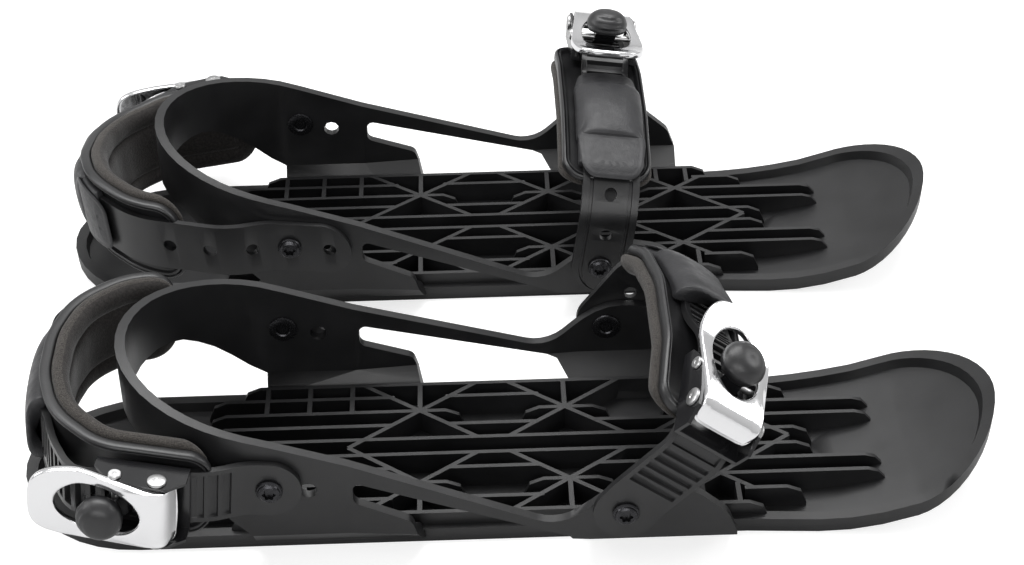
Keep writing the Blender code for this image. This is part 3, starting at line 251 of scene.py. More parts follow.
class Finish:
    """A Principled material and a short way to build its nodes."""

    def __init__(self, name, colour, roughness, metallic=0.0):
        self.material = bpy.data.materials.new(name)
        self.material.use_nodes = True
        self.tree = self.material.node_tree
        self.place = self.tree.nodes.new("ShaderNodeTexCoord").outputs["Object"]
        self.height = None
        self.set({"Base Color": (*colour, 1.0), "Roughness": roughness, "Metallic": metallic})

    def set(self, inputs):
        """Constants on the shader's own sockets, or their feeds."""
        fed(self.tree.nodes["Principled BSDF"], inputs)

    def node(self, kind, output, inputs):
        return fed(self.tree.nodes.new("ShaderNode" + kind), inputs).outputs[output]

    def noise(self, scale, detail, place=None):
        return self.node("TexNoise", "Fac", {"Scale": scale, "Detail": detail, "Vector": place or self.place})

    def cells(self, scale):
        return self.node("TexVoronoi", "Distance", {"Scale": scale, "Vector": self.place})

    def mottle(self, noise, reach, first, last):
        """The base colour runs from first to last over a stretch of a noise of (scale, detail)."""
        mix = self.tree.nodes.new("ShaderNodeMix")
        mix.data_type = "RGBA"
        share = map_range(self.tree, self.noise(*noise), *reach, 0.0, 1.0)
        fed(mix, {"Factor": share, "A": (*first, 1.0), "B": (*last, 1.0)})
        self.set({"Base Color": mix.outputs["Result"]})

    def rub(self, noise, reach, first, last):
        """The roughness runs from first to last over a stretch of a noise of (scale, detail)."""
        self.set({"Roughness": map_range(self.tree, self.noise(*noise), *reach, first, last)})

    def bump(self, value, depth, strength=1.0):
        """One more layer of relief, of this depth in metres."""
        inputs = {"Strength": strength, "Distance": depth, "Height": value}
        if self.height:
            inputs["Normal"] = self.height
        self.height = self.node("Bump", "Normal", inputs)
        self.set({"Normal": self.height})


def moulded(name, dark, light, low, high, grain, depth):
    """Injection-moulded plastic: fine grain, slow shade changes and faint rubbed patches."""
    made = Finish(name, dark, low)
    made.mottle((55.0, 5.0), (0.35, 0.7), dark, light)
    made.rub((24.0, 6.0), (0.3, 0.7), low, high)
    made.bump(made.noise(grain, 2.0), depth)
    made.bump(made.noise(90.0, 2.0), depth * 1.6, 0.5)
    return made


def add_cloths(made):
    """Leather, felt, the lining's smoother middle, and thread."""
    leather = made["leather"] = Finish("cover_leather", (0.045, 0.045, 0.048), 0.42)
    leather.mottle((60.0, 5.0), (0.3, 0.7), (0.017, 0.017, 0.0185), (0.028, 0.028, 0.030))
    leather.rub((300.0, 3.0), (0.3, 0.7), 0.36, 0.50)
    leather.bump(leather.cells(1500.0), 0.00006, 0.8)
    leather.bump(leather.noise(160.0, 4.0), 0.0004, 0.7)
    leather.set({"Specular IOR Level": 0.3})

    felt = made["felt"] = Finish("felt", (0.075, 0.066, 0.060), 0.95)
    felt.mottle((1900.0, 6.0), (0.36, 0.68), (0.016, 0.0145, 0.0135), (0.072, 0.065, 0.059))
    felt.bump(felt.noise(2300.0, 5.0), 0.0004)
    felt.bump(felt.noise(420.0, 4.0), 0.0005, 0.6)
    felt.set({"Sheen Weight": 0.12, "Sheen Roughness": 0.5, "Specular IOR Level": 0.2})

    lining = made["lining"] = Finish("lining", (0.045, 0.039, 0.036), 0.85)
    lining.mottle((900.0, 5.0), (0.35, 0.7), (0.014, 0.0125, 0.012), (0.032, 0.029, 0.0275))
    lining.bump(lining.cells(1700.0), 0.0002, 0.7)
    lining.bump(lining.noise(140.0, 3.0), 0.0004, 0.5)
    lining.set({"Sheen Weight": 0.2, "Sheen Roughness": 0.4, "Specular IOR Level": 0.25})

    thread = made["thread"] = Finish("thread", (0.030, 0.028, 0.028), 0.7)
    thread.bump(thread.noise(4000.0, 2.0), 0.00008)


def add_buckle_finishes(made):
    """Chrome, rubber, and the metals of the pins and the screws."""
    chrome = made["chrome"] = Finish("lever_chrome", (0.80, 0.80, 0.81), 0.07, 1.0)
    chrome.rub((500.0, 5.0), (0.35, 0.75), 0.10, 0.18)
    chrome.bump(chrome.noise(70.0, 2.0), 0.0001, 0.25)

    rubber = made["rubber"] = Finish("tongue_rubber", (0.014, 0.014, 0.015), 0.38)
    rubber.rub((260.0, 4.0), (0.3, 0.7), 0.32, 0.46)
    rubber.bump(rubber.noise(1600.0, 3.0), 0.00005)

    steel = made["steel"] = Finish("pin_steel", (0.46, 0.46, 0.46), 0.24, 1.0)
    steel.rub((2500.0, 3.0), (0.3, 0.7), 0.28, 0.44)
    steel.bump(steel.noise(1800.0, 2.0), 0.00003)

    screw = made["screw"] = Finish("screw_metal", (0.035, 0.035, 0.038), 0.26, 0.85)
    screw.rub((1500.0, 4.0), (0.3, 0.7), 0.2, 0.36)
    screw.bump(screw.noise(2500.0, 2.0), 0.00003)


def make_finishes():
    made = {key: moulded(key + "_plastic", *values) for key, values in PLASTICS.items()}
    ski = made["ski"]
    stretched = ski.node("Mapping", "Vector", {"Scale": (1.0, 9.0, 9.0), "Vector": ski.place})
    scuffs = ski.noise(70.0, 6.0, stretched)
    ski.bump(map_range(ski.tree, scuffs, 0.62, 0.66, 0.0, 1.0), 0.00003, 0.4)
    add_cloths(made)
    add_buckle_finishes(made)
    return {name: finish.material for name, finish in made.items()}


FINISHES = make_finishes()


# Strap lines

def between(value, start, end):
    """How far the value is from start to end, from 0 to 1."""
    return min(1.0, max(0.0, (value - start) / (end - start)))


def eased(share):
    return share * share * (3 - 2 * share)


class RoundedLine:
    """A chain of corners joined by straights, each inner corner rounded to its own radius."""

    def __init__(self, corners, radii):
        self.runs = []
        self.length = 0.0
        points = [Vector(corner) for corner in corners]
        headings = [math.atan2(b.x - a.x, b.y - a.y) for a, b in zip(points, points[1:])]
        for index in range(1, len(headings)):
            turn = headings[index] - headings[index - 1]
            headings[index] -= round(turn / math.tau) * math.tau
        start = points[0]
        for index, heading in enumerate(headings):
            end = points[index + 1]
            turn = headings[index + 1] - heading if index + 1 < len(headings) else 0.0
            if turn:
                end = end - self.direction(heading) * radii[index] * math.tan(abs(turn) / 2)
            self.add_run(start, heading, 0.0, (end - start).length)
            start = end
            if turn:
                bend = math.copysign(1.0 / radii[index], turn)
                self.add_run(end, heading, bend, radii[index] * abs(turn))
                start = self.place(self.length)[0]

    @staticmethod
    def direction(heading):
        return Vector((math.sin(heading), math.cos(heading)))

    def add_run(self, start, heading, bend, length):
        self.runs.append((self.length, start.copy(), heading, bend, length))
        self.length += length

    def place(self, s):
        """The point and heading at the distance s along the line."""
        begun = [run for run in self.runs if run[0] <= s + 1e-12]
        origin, start, heading, bend, _ = max(begun, default=self.runs[0], key=lambda run: run[0])
        travel = s - origin
        if bend == 0.0:
            return start + self.direction(heading) * travel, heading
        now = heading + bend * travel
        shift = Vector((math.cos(heading) - math.cos(now), math.sin(now) - math.sin(heading)))
        return start + shift / bend, now

    def where(self, axis, value, after=0.0):
        """The first distance past after at which a coordinate reaches a value."""
        s = after
        before = self.place(s)[0][axis] - value
        while s < self.length:
            s += SEARCH_STEP
            now = self.place(s)[0][axis] - value
            if before * now <= 0:
                return s
            before = now
        return self.length


class Strap:
    """One strap: its line, the places along it and its stand in the object."""

    def __init__(self, side, kind):
        self.name = f"{side}_{kind}"
        self.body = self.name + "_strap"
        self.kind = kind
        self.mouth_rise = MOUTH_RISES[kind]
        self.puff_rise = PUFF_RISES[kind]
        self.set_back = TOE_SET_BACK if kind == "toe" else 0.0
        self.flat_mouth = FLAT_MOUTH if self.name == "left_toe" else 0.0
        self.twist = LEFT_HEEL_TWIST if self.name == "left_heel" else 0.0
        if kind == "heel":
            self.lay_heel()
        else:
            self.lay_toe(side)
        self.seam = self.sleeve[1] - FLAP_LENGTH
        outwards = OUTWARDS[side]
        across = Vector(JOINTS[self.name + "_lever_lift"]["axis"]) * outwards
        swing = math.atan2(-across.z, across.x)
        self.pivot = Vector(JOINTS[self.name + "_strap_swing"]["pos_m"])
        self.stand = (Matrix.Translation(self.pivot) @ Matrix.Rotation(swing, 4, "Y")
                      @ Matrix.Diagonal((1, outwards, 1, 1)))
        point, heading = self.line.place(self.pin)
        self.seat = (point, self.line.direction(heading), self.outward(heading))

    def lay_heel(self):
        """The heel strap's line and the places along it."""
        line = self.line = RoundedLine(HEEL_CORNERS, HEEL_RADII)
        self.pin = line.where(1, HEEL_PIN_H)
        self.liner = (line.where(1, HEEL_LINER_H[0]), line.where(1, HEEL_LINER_H[1], line.length * 0.6))
        self.sleeve = (self.pin + HEEL_MOUTH, line.where(1, HEEL_SLEEVE_END_H, line.length * 0.5))
        self.inner_pivot = line.length - HEEL_ADJUST_END
        self.holes = (-1, 1, 2, 3)

    def lay_toe(self, side):
        """The toe strap's line and the places along it."""
        corner, crown = TOE_OUTER_CORNERS[side], TOE_CROWNS[side]
        corners = [(-TOE_PIVOT_U, -STRAP_END), (-TOE_PIVOT_U, 0.008), corner, (-0.030, crown), (0.012, crown),
                   (0.040, crown * 0.8 + 0.0058), (0.0600, 0.0430), (TOE_PIVOT_U + 0.0004, 0.0275),
                   (TOE_PIVOT_U, 0.010), (TOE_PIVOT_U, -STRAP_END)]
        line = self.line = RoundedLine(corners, TOE_RADII)
        self.pin = line.where(0, corner[0] + TOE_PIN_INSET, line.where(1, corner[1] - 0.002))
        self.liner = (self.pin + 0.001, line.where(1, TOE_LINER_END_H, line.length * 0.6))
        self.sleeve = (self.pin + TOE_MOUTHS[side], line.where(1, TOE_SLEEVE_END_H, line.length * 0.6))
        self.inner_pivot = line.length - STRAP_END
        self.holes = (1, 2)

    @staticmethod
    def outward(heading):
        return Vector((-math.cos(heading), math.sin(heading)))

    def at(self, s, w, n):
        """The place of (s, w, n) in the object."""
        point, heading = self.line.place(s)
        u = point.x - n * math.cos(heading)
        h = point.y + n * math.sin(heading)
        turn = self.twist * eased(between(s, self.pin + BASE_FRONT + 0.004, self.sleeve[1]))
        return self.stand @ Vector((w + h * math.tan(turn), u, h))

    def over_buckle(self, s, height):
        """How far above the line at s a height of the buckle's own frame is."""
        point, heading = self.line.place(s)
        foot, _, outward = self.seat
        return (height - (point - foot).dot(outward)) / self.outward(heading).dot(outward)

    def in_buckle(self, x, y, z):
        """The place of a buckle's point: x across, y along the strap, z out from the pin's foot."""
        foot, along, outward = self.seat
        flat = foot + along * y + outward * z
        return self.stand @ Vector((x, flat.x, flat.y))


# Mesh building

def angles(count):
    return [math.tau * step / count for step in range(count)]


def circle(count):
    return [(math.cos(angle), math.sin(angle)) for angle in angles(count)]


def placed(name, data):
    """A new object of the scene."""
    made = bpy.data.objects.new(name, data)
    bpy.context.scene.collection.objects.link(made)
    return made


def shown(name, data, finish, smooth=35.0):
    """A mesh as an object with its finish, smooth up to an angle."""
    made = placed(name, data)
    if not data.materials:
        data.materials.append(FINISHES[finish])
    data.shade_smooth()
    data.set_sharp_from_angle(angle=math.radians(smooth))
    return made


def settled(mesh):
    """The finished mesh with its faces turned outwards."""
    bmesh.ops.recalc_face_normals(mesh, faces=mesh.faces)
    data = bpy.data.meshes.new("form")
    mesh.to_mesh(data)
    mesh.free()
    return data


def bridge(mesh, rows):
    """Faces between each closed row of vertices and the next."""
    for low, high in zip(rows, rows[1:]):
        for index in range(len(low)):
            after = (index + 1) % len(low)
            mesh.faces.new((low[index], low[after], high[after], high[index]))


def skin(rings, around=False):
    """A surface through rings of points, capped at both ends or closed on itself."""
    mesh = bmesh.new()
    rows = [[mesh.verts.new(point) for point in ring] for ring in rings]
    bridge(mesh, rows + rows[:1] if around else rows)
    if not around:
        mesh.faces.new(rows[0])
        mesh.faces.new(rows[-1])
    return settled(mesh)


def joined(forms):
    mesh = bmesh.new()
    for form in forms:
        mesh.from_mesh(form)
    return settled(mesh)


def tube(points, radius):
    """A thin round bar along a few points, thinner at its ends."""
    rings = []
    for index, point in enumerate(points):
        before = points[max(0, index - 1)]
        after = points[min(len(points) - 1, index + 1)]
        along = (after - before).normalized()
        first = along.orthogonal().normalized()
        second = along.cross(first)
        shrink = 0.55 if index in (0, len(points) - 1) else 1.0
        rings.append([point + (first * x + second * y) * radius * shrink for x, y in circle(6)])
    return skin(rings)


def rounded_edges(piece, width, segments=2, angle=38.0):
    """Small fillets on a piece's sharp edges."""
    weld = piece.modifiers.new("weld", "WELD")
    weld.merge_threshold = 1e-5
    bevel = piece.modifiers.new("fillets", "BEVEL")
    bevel.width = width
    bevel.segments = segments
    bevel.limit_method = "ANGLE"
    bevel.angle_limit = math.radians(angle)


def subdivided(piece):
    smooth = piece.modifiers.new("smooth", "SUBSURF")
    smooth.levels = 1
    smooth.render_levels = 1


def cut(piece, tool):
    """An exact Boolean difference, applied at once."""
    helper = placed("tool", tool)
    modifier = piece.modifiers.new("cut", "BOOLEAN")
    modifier.operation = "DIFFERENCE"
    modifier.solver = "EXACT"
    modifier.object = helper
    result = bpy.data.meshes.new_from_object(piece.evaluated_get(bpy.context.evaluated_depsgraph_get()))
    piece.modifiers.remove(modifier)
    piece.data = result
    bpy.data.objects.remove(helper)


def steps(first, last, size=STATION):
    """Even places from first to last, no more than size apart."""
    count = max(1, math.ceil((last - first) / size))
    return [first + (last - first) * index / count for index in range(count + 1)]


def belongs(piece, body, slot, *nodes):
    """The body that a piece rides on, and the CAD nodes that it replaces; its slot is not used."""
    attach(piece, body)
    if nodes:
        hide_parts(*nodes)


def stand_for(piece, strap, slot, *nodes):
    belongs(piece, strap.body, slot, *[f"{strap.name}_{node}" for node in nodes])


# Flexible plastic bands

def round_half(s, end):
    """Half the band's width at s, near its round end."""
    run = min(abs(s - end), BAND_HALF)
    chord = math.sqrt(max(0.0, BAND_HALF ** 2 - (BAND_HALF - run) ** 2))
    return min(BAND_HALF, max(ROUND_END_HALF, chord))


def end_stops(end, inward):
    """Stations that draw a round end."""
    return [end + inward * BAND_HALF * (1 - math.cos(math.radians(angle))) for angle in range(0, 91, 9)]


def band_stops(first, last, extra):
    """Even stations and the extra ones in order, without any that nearly coincide."""
    found = sorted({round(value, 7) for value in extra + steps(first, last) if first <= value <= last})
    return [value for index, value in enumerate(found) if index == 0 or value - found[index - 1] > 5e-5]


def repeated(first, pitch, stop):
    """Places a pitch apart, from first to short of stop."""
    places = []
    while first < stop:
        places.append(first)
        first += pitch
    return places


def corner_depths(starts, pitch, shape):
    """The share of the full depth at each corner of the shape, drawn from each start."""
    return {round(start + pitch * share, 7): deep for start in starts for share, deep in shape}


def hole(place, depths):
    """A cylinder as wide as a hole, drawn by place(x, y, depth) between two depths."""
    return skin([[place(HOLE_RADIUS * x, HOLE_RADIUS * y, depth) for x, y in circle(32)] for depth in depths])


def drill(strap, s):
    """A cylinder through the band at s."""
    return hole(lambda x, y, depth: strap.at(s + x, y, depth), (-0.004, 0.008))


def pivot_hole(strap, s):
    """A cylinder through the band at a pivot, square to the ski's wall."""
    u = strap.line.place(s)[0].x
    return hole(lambda x, y, depth: strap.stand @ Vector((x, u + depth, y)), (-0.008, 0.008))


def band_section(strap, half):
    """The adjust band's section: plain at the heels, with railed and grooved edges at the toes."""
    top = BAND_THICKNESS
    if strap.kind == "heel":
        return ((-half, 0), (half, 0), (half, top), (-half, top))
    rail, groove = EDGE_RAIL * half / BAND_HALF, EDGE_GROOVE * half / BAND_HALF
    high, low = top + EDGE_RAIL_RISE, top - EDGE_GROOVE_DEPTH
    edge = ((half, high), (half - rail, high), (half - rail - 0.1 * groove, low),
            (half - rail - 0.9 * groove, low), (half - rail - groove, top))
    return ((-half, 0), (half, 0)) + edge + tuple((-w, n) for w, n in reversed(edge))


def adjust_strap(strap):
    """The band with its row of holes, counted from the one on the inner screw."""
    end = strap.line.length
    rings = []
    for s in band_stops(strap.sleeve[1] - LADDER_TUCK, end, end_stops(end, -1)):
        rings.append([strap.at(s, w, n) for w, n in band_section(strap, round_half(s, end))])
    piece = shown(strap.name + "_adjust_band", skin(rings), "strap")
    holes = [drill(strap, strap.inner_pivot - step * HOLE_PITCH) for step in strap.holes]
    cut(piece, joined(holes + [pivot_hole(strap, strap.inner_pivot)]))
    rounded_edges(piece, 0.0005 if strap.kind == "heel" else 0.0001, 3)
    stand_for(piece, strap, "strap_plastic", "adjust_strap")


def flex_depth(share):
    """A flex groove's depth between its corners, at a share of its pitch."""
    if share > FLEX_RISE:
        return FLEX_DEPTH * (1 - between(share, FLEX_RISE, FLEX_END))
    return FLEX_DEPTH if FLEX_LOW < share < FLEX_RISE else 0.0


def buckle_strap(strap):
    """The band from the outer pivot to the buckle, with flex grooves between its rims."""
    top = BAND_THICKNESS
    grooves = repeated(FLEX_START, FLEX_PITCH, strap.pin - 0.003 - FLEX_PITCH)
    depths = corner_depths(grooves, FLEX_PITCH, FLEX_SHAPE)
    rings = []
    for s in band_stops(0.0, strap.pin + BUCKLE_STRAP_TUCK, end_stops(0.0, 1) + list(depths)):
        half = round_half(s, 0.0)
        inside = min(FLEX_HALF, half * 0.80)
        dent = FLEX_DEPTH * depths.get(s, 0.0)
        if grooves and dent == 0.0 and grooves[0] < s < grooves[-1] + FLEX_PITCH:
            dent = flex_depth((s - grooves[0]) % FLEX_PITCH / FLEX_PITCH)
        rings.append([strap.at(s, w, n) for w, n in (
            (-half, 0), (half, 0), (half, top), (inside + 0.0005, top), (inside, top - dent),
            (-inside, top - dent), (-inside - 0.0005, top), (-half, top))])
    piece = shown(strap.name + "_buckle_band", skin(rings), "strap")
    cut(piece, pivot_hole(strap, STRAP_END))
    rounded_edges(piece, 0.0004, 2, 50.0)
    stand_for(piece, strap, "strap_plastic", "buckle_strap")


def ladder(strap):
    """The ratchet band: saw teeth between two side rails."""
    first, last = strap.pin + LADDER_START, strap.sleeve[0] + LADDER_TUCK
    climb = (strap.pin + BASE_FRONT + 0.001, strap.sleeve[0] - 0.004)
    inside = LADDER_HALF - LADDER_RAIL
    teeth = repeated(first + 0.002, TOOTH_PITCH, strap.sleeve[0] + 0.006)
    depths = corner_depths(teeth, TOOTH_PITCH, TOOTH_SHAPE)
    plain = {round(s, 7) for s in [first, last] + steps(teeth[-1] + TOOTH_PITCH, last)}
    rings = []
    for s in sorted(set(depths) | plain):
        in_base = strap.over_buckle(min(s, climb[0] + 0.004), FLOOR_HIGH + GAP)
        low = in_base * (1 - eased(between(s, *climb)))
        high = low + LADDER_THICKNESS
        deep = high - TOOTH_DEPTH * depths.get(s, 0.0)
        rings.append([strap.at(s, w, n) for w, n in (
            (-LADDER_HALF, low), (LADDER_HALF, low), (LADDER_HALF, high), (inside, high),
            (inside - 0.0003, deep), (-inside + 0.0003, deep), (-inside, high), (-LADDER_HALF, high))])
    piece = shown(strap.name + "_ladder_band", skin(rings), "ladder", 25.0)
    rounded_edges(piece, 0.0002, 1, 50.0)
    stand_for(piece, strap, "ladder_plastic", "ladder_strap")


# Padded cover

class Outline:
    """A long rounded rectangle on a strap, drawn as loops at any inward offset.

    It can be shifted across the strap, and narrow towards its far end.
    """

    def __init__(self, strap, first, last, half, corner, shift=0.0, taper=0.0):
        self.strap, self.shift, self.taper = strap, shift, taper
        self.first, self.last, self.half, self.corner = first, last, half, corner

    def side(self, offset):
        """Stations (s, w) of one half, from the middle of one end to that of the other."""
        corner = max(self.corner - offset, 0.0)
        width = self.half - offset - corner
        near_centre, far_centre = self.first + self.corner, self.last - self.corner
        arc = [math.radians(90.0 * step / 8) for step in range(9)]
        near = [(near_centre - corner * math.cos(a), width + corner * math.sin(a)) for a in arc]
        far = [(far_centre + corner * math.cos(a), width + corner * math.sin(a)) for a in reversed(arc)]
        middle = [(s, self.half - offset) for s in steps(near_centre, far_centre)[1:-1]]
        across = [width * step / 4 for step in range(4)]
        start = [(near[0][0], w) for w in across]
        return start + near + middle + far + [(far[-1][0], w) for w in reversed(across)]

    def loop(self, offset):
        """The whole outline at an offset: one half, then the other one back."""
        half = [(s, w * (1 - self.taper * between(s, self.first, self.last) ** 2))
                for s, w in self.side(offset)]
        return half + [(s, -w) for s, w in half[-2:0:-1]]


def layered(outline, profile, shape=lambda s, n: n):
    """A closed form from loops (offset, n), filled inside its first and its last loop."""
    mesh = bmesh.new()
    loops = []
    for offset, n in profile:
        loops.append([mesh.verts.new(outline.strap.at(s, w + outline.shift, shape(s, n)))
                      for s, w in outline.loop(offset)])
    bridge(mesh, loops)
    for loop in (loops[0], loops[-1]):
        for index in range(len(loop) // 2):
            strip = (loop[index], loop[index + 1], loop[-index - 1], loop[-index])
            mesh.faces.new(list(dict.fromkeys(strip)))
    mesh.verts.index_update()
    ranks = [[vertex.index for vertex in loop] for loop in loops]
    return settled(mesh), ranks


def swell(piece, pinned, pressure, cap):
    """Cloth simulation: the piece swells between its pinned points, by no more than cap."""
    rest = [vertex.co.copy() for vertex in piece.data.vertices]
    piece.data.transform(Matrix.Scale(SIM_SCALE, 4))
    group = piece.vertex_groups.new(name="pinned")
    group.add(sorted(pinned), 1.0, "REPLACE")
    cloth = piece.modifiers.new("swell", "CLOTH")
    settings = cloth.settings
    settings.quality = 6
    settings.mass = 0.2
    settings.tension_stiffness = settings.compression_stiffness = 25.0
    settings.bending_stiffness = 1.5
    settings.vertex_group_mass = "pinned"
    settings.use_pressure = True
    settings.uniform_pressure_force = pressure
    settings.effector_weights.gravity = 0.0
    cloth.collision_settings.use_collision = False
    cloth.point_cache.frame_end = SIM_FRAMES
    for number in range(1, SIM_FRAMES + 1):
        bpy.context.scene.frame_set(number)
    swollen = piece.evaluated_get(bpy.context.evaluated_depsgraph_get()).data
    places = [vertex.co / SIM_SCALE for vertex in swollen.vertices]
    piece.modifiers.remove(cloth)
    piece.vertex_groups.remove(group)
    for vertex, start, end in zip(piece.data.vertices, rest, places):
        shift = end - start
        vertex.co = start + shift * min(1.0, cap / max(shift.length, 1e-9))
    bpy.context.scene.frame_set(1)


def stitches(strap, places):
    """A row of stitches along places (s, w, n) of the lining."""
    points = [Vector(place) for place in places]
    made = []
    left = STITCH_PITCH / 2
    for first, last in zip(points, points[1:]):
        run = last - first
        while left < run.length:
            middle = first + run * left / run.length
            reach = run.normalized() * STITCH_LENGTH / 2
            thread = zip((middle - reach, middle, middle + reach), STITCH_LIFTS)
            made.append(tube([strap.at(p.x, p.y, p.z + lift) for p, lift in thread], STITCH_RADIUS))
            left += STITCH_PITCH
        left -= run.length
    piece = shown(strap.name + "_lining_stitches", joined(made), "thread", 60.0)
    stand_for(piece, strap, "felt")


def pad(strap):
    """The lining: felt over foam, with a stitched channel all round and a smoother middle."""
    first, last = strap.liner[0] + 0.001, strap.liner[1] + 0.001
    top = -GAP - SHELL_THICKNESS - GAP
    outline = Outline(strap, first, last, PAD_HALF, PAD_CORNER, strap.set_back)

    def deep(s, depth):
        ends = eased(min(between(s, first - 0.004, first + 0.016), between(s, last + 0.004, last - 0.016)))
        return top - depth * (PAD_END_SHARE + (1 - PAD_END_SHARE) * ends)

    depth = PAD_DEPTH
    seam = (PAD_SEAM, depth - PAD_SEAM_RISE)
    profile = [(0.0022, 0.0), (0.0010, 0.0003), (0.0002, 0.0014), (0.0, 0.0030), (0.0004, 0.0046),
               (0.0016, 0.0062), (0.0034, 0.0072), (0.0056, depth - 0.0002), (0.0078, depth - 0.0004),
               (PAD_SEAM - 0.0008, depth - 0.0012), seam, (PAD_SEAM + 0.0008, depth - 0.0011),
               (0.0124, depth - 0.0004), (0.0150, depth), (0.0178, depth + 0.0002), (0.0200, depth + 0.0002)]
    data, ranks = layered(outline, profile, deep)
    data.materials.append(FINISHES["felt"])
    data.materials.append(FINISHES["lining"])
    middle = {index for rank in ranks[FELT_RANKS[strap.kind]:] for index in rank}
    for face in data.polygons:
        if all(index in middle for index in face.vertices):
            face.material_index = 1
    piece = shown(strap.name + "_lining", data, "felt", 70.0)
    swell(piece, {index for rank in ranks[:3] + [ranks[profile.index(seam)]] for index in rank}, *PAD_SWELL)
    stand_for(piece, strap, "felt", "pad")
    line = [(s, w + strap.set_back, deep(s, seam[1])) for s, w in outline.loop(PAD_SEAM)]
    stitches(strap, line + line[:1])


def shell(strap):
    """The plastic shell that carries the pad, with twin beads along its edge."""
    outline = Outline(strap, *strap.liner, SHELL_HALF, SHELL_CORNER, strap.set_back)
    top = -GAP
    low = top - SHELL_THICKNESS
    profile = [(RAIL_WIDTH + 0.0006, top), (RAIL_WIDTH + 0.0001, top + 0.0004), (RAIL_WIDTH - 0.0002, 0.0014),
               (RAIL_WIDTH - 0.0006, 0.0021), (0.0024, 0.0023), (0.0020, 0.0017), (0.00185, 0.0011),
               (0.0017, 0.0017), (0.0013, 0.0023), (0.0006, 0.0021), (0.0001, 0.0013), (0.0, 0.0002),
               (0.0, low + 0.0012), (0.0004, low + 0.0004), (0.0012, low)]
    data, _ = layered(outline, profile)
    stand_for(shown(strap.name + "_shell", data, "shell", 50.0), strap, "strap_plastic", "cover")


def sleeve_height(strap, s):
    """The leather sleeve's inner height: an open mouth, a puffed middle and a flat flap."""
    mouth, seam = strap.sleeve[0], strap.seam
    base = LADDER_THICKNESS + GAP
    if s >= seam:
        return base
    if strap.flat_mouth:
        rise = eased(between(s, mouth + strap.flat_mouth, mouth + strap.flat_mouth + 0.0045))
        return base + 0.0006 + strap.puff_rise * rise * (1 - 0.6 * between(s, mouth + HOOD_LENGTH, seam) ** 2)
    lift = strap.mouth_rise * (1 - between(s, mouth, mouth + HOOD_LENGTH)) ** 1.5
    return base + lift + strap.puff_rise * math.sin(0.85 * math.pi * between(s, mouth + 0.006, seam)) ** 0.7


def sleeve_half(strap, s):
    """Half the sleeve's width: drawn in towards a flat mouth and at the seam."""
    if s >= strap.seam:
        return SLEEVE_HALF - 0.0007
    if strap.flat_mouth:
        mouth = strap.sleeve[0]
        return SLEEVE_HALF - 0.0024 * (1 - eased(between(s, mouth, mouth + strap.flat_mouth + 0.003)))
    return SLEEVE_HALF


def sleeve_ring(strap, s):
    """The sleeve's section at s: its outer arch, then its inner one back."""
    crown = sleeve_height(strap, s)
    pinch = SEAM_PINCH if s == strap.seam else 0.0
    half = sleeve_half(strap, s) - pinch * 0.5
    wall = SLEEVE_WALL - pinch * 0.7
    dome, square = (0.0014, 0.46) if s < strap.seam else (0.0004, 0.30)
    outer, inner = [], []
    for angle in SLEEVE_ARC:
        x, y = math.cos(angle), math.sin(angle)
        side, rise = math.copysign(abs(x) ** square, x), y ** square
        outer.append((half * side, -GAP + (crown + wall + GAP) * rise + dome * (1 - x * x)))
        inner.append(((BAND_HALF + GAP) * side, (crown - 0.0001) * rise))
    return [strap.at(s, w, n) for w, n in outer + inner[::-1]]


def sleeve(strap):
    """The leather sleeve that both bands enter: a hood with an arched mouth, a puff and a flap."""
    (mouth, end), seam = strap.sleeve, strap.seam
    puff = steps(mouth, seam - 0.0008, SLEEVE_STATION)
    spots = puff + [seam] + steps(seam + 0.0008, end, SLEEVE_STATION)
    data = skin([sleeve_ring(strap, s) for s in spots])
    arch = len(SLEEVE_ARC)
    feet = [0, 1, arch - 2, arch - 1, *range(arch, 2 * arch)]
    pinned = set()
    for row in range(len(spots)):
        fixed = range(2 * arch) if row in (0, len(puff), len(spots) - 1) else feet
        pinned.update(row * 2 * arch + index for index in fixed)
    piece = shown(strap.name + "_sleeve", data, "leather", 60.0)
    swell(piece, pinned, *SLEEVE_SWELL)
    subdivided(piece)
    stand_for(piece, strap, "cover_leather")
    tab(strap)


def tab(strap):
    """The leather tab that closes the sleeve: out from under the puff, to rounded corners."""
    low = LADDER_THICKNESS + GAP + SLEEVE_WALL + 0.0002
    outline = Outline(strap, strap.seam - TAB_TUCK, strap.seam + TAB_LENGTH,
                      SLEEVE_HALF - 0.0003, TAB_CORNER, taper=TAB_TAPER)
    profile = [(0.0006, low), (0.0001, low + 0.0002), (0.0, low + 0.0006), (0.0005, low + 0.0010),
               (0.0014, low + 0.0012), (0.0022, low + 0.0011), (0.0030, low + 0.0012),
               (0.0050, low + 0.0014), (0.0100, low + 0.0016)]
    data, _ = layered(outline, profile)
    piece = shown(strap.name + "_sleeve_tab", data, "leather", 60.0)
    stand_for(piece, strap, "cover_leather")


# Buckle

def turned_in_buckle(strap, centre, discs):
    """A solid turned about the buckle's x axis through discs of (radius, x)."""
    y, z = centre
    return skin([[strap.in_buckle(x, y + radius * c, z + radius * s) for c, s in circle(28)]
                 for radius, x in discs])


def bore(strap, centre, radius):
    """A cylinder through the whole buckle, for a pin's hole."""
    return turned_in_buckle(strap, centre, ((radius, -0.02), (radius, 0.02)))


def rivet(strap, node, centre, radius, head):
    """A steel pin whose ends are spread into flat heads with a dimple."""
    seat, end = PIN_SEAT, PIN_SEAT + PIN_HEAD
    half = [(head * 0.26, end - 0.0003), (head * 0.32, end), (head * 0.86, end), (head * 0.97, end - 0.0003),
            (head, seat + 0.0002), (head, seat), (radius, seat)]
    discs = [(r, -x) for r, x in half] + [(r, x) for r, x in reversed(half)]
    piece = shown(f"{strap.name}_{node}_rivet", turned_in_buckle(strap, centre, discs), "steel", 40.0)
    stand_for(piece, strap, "pin_steel", node)


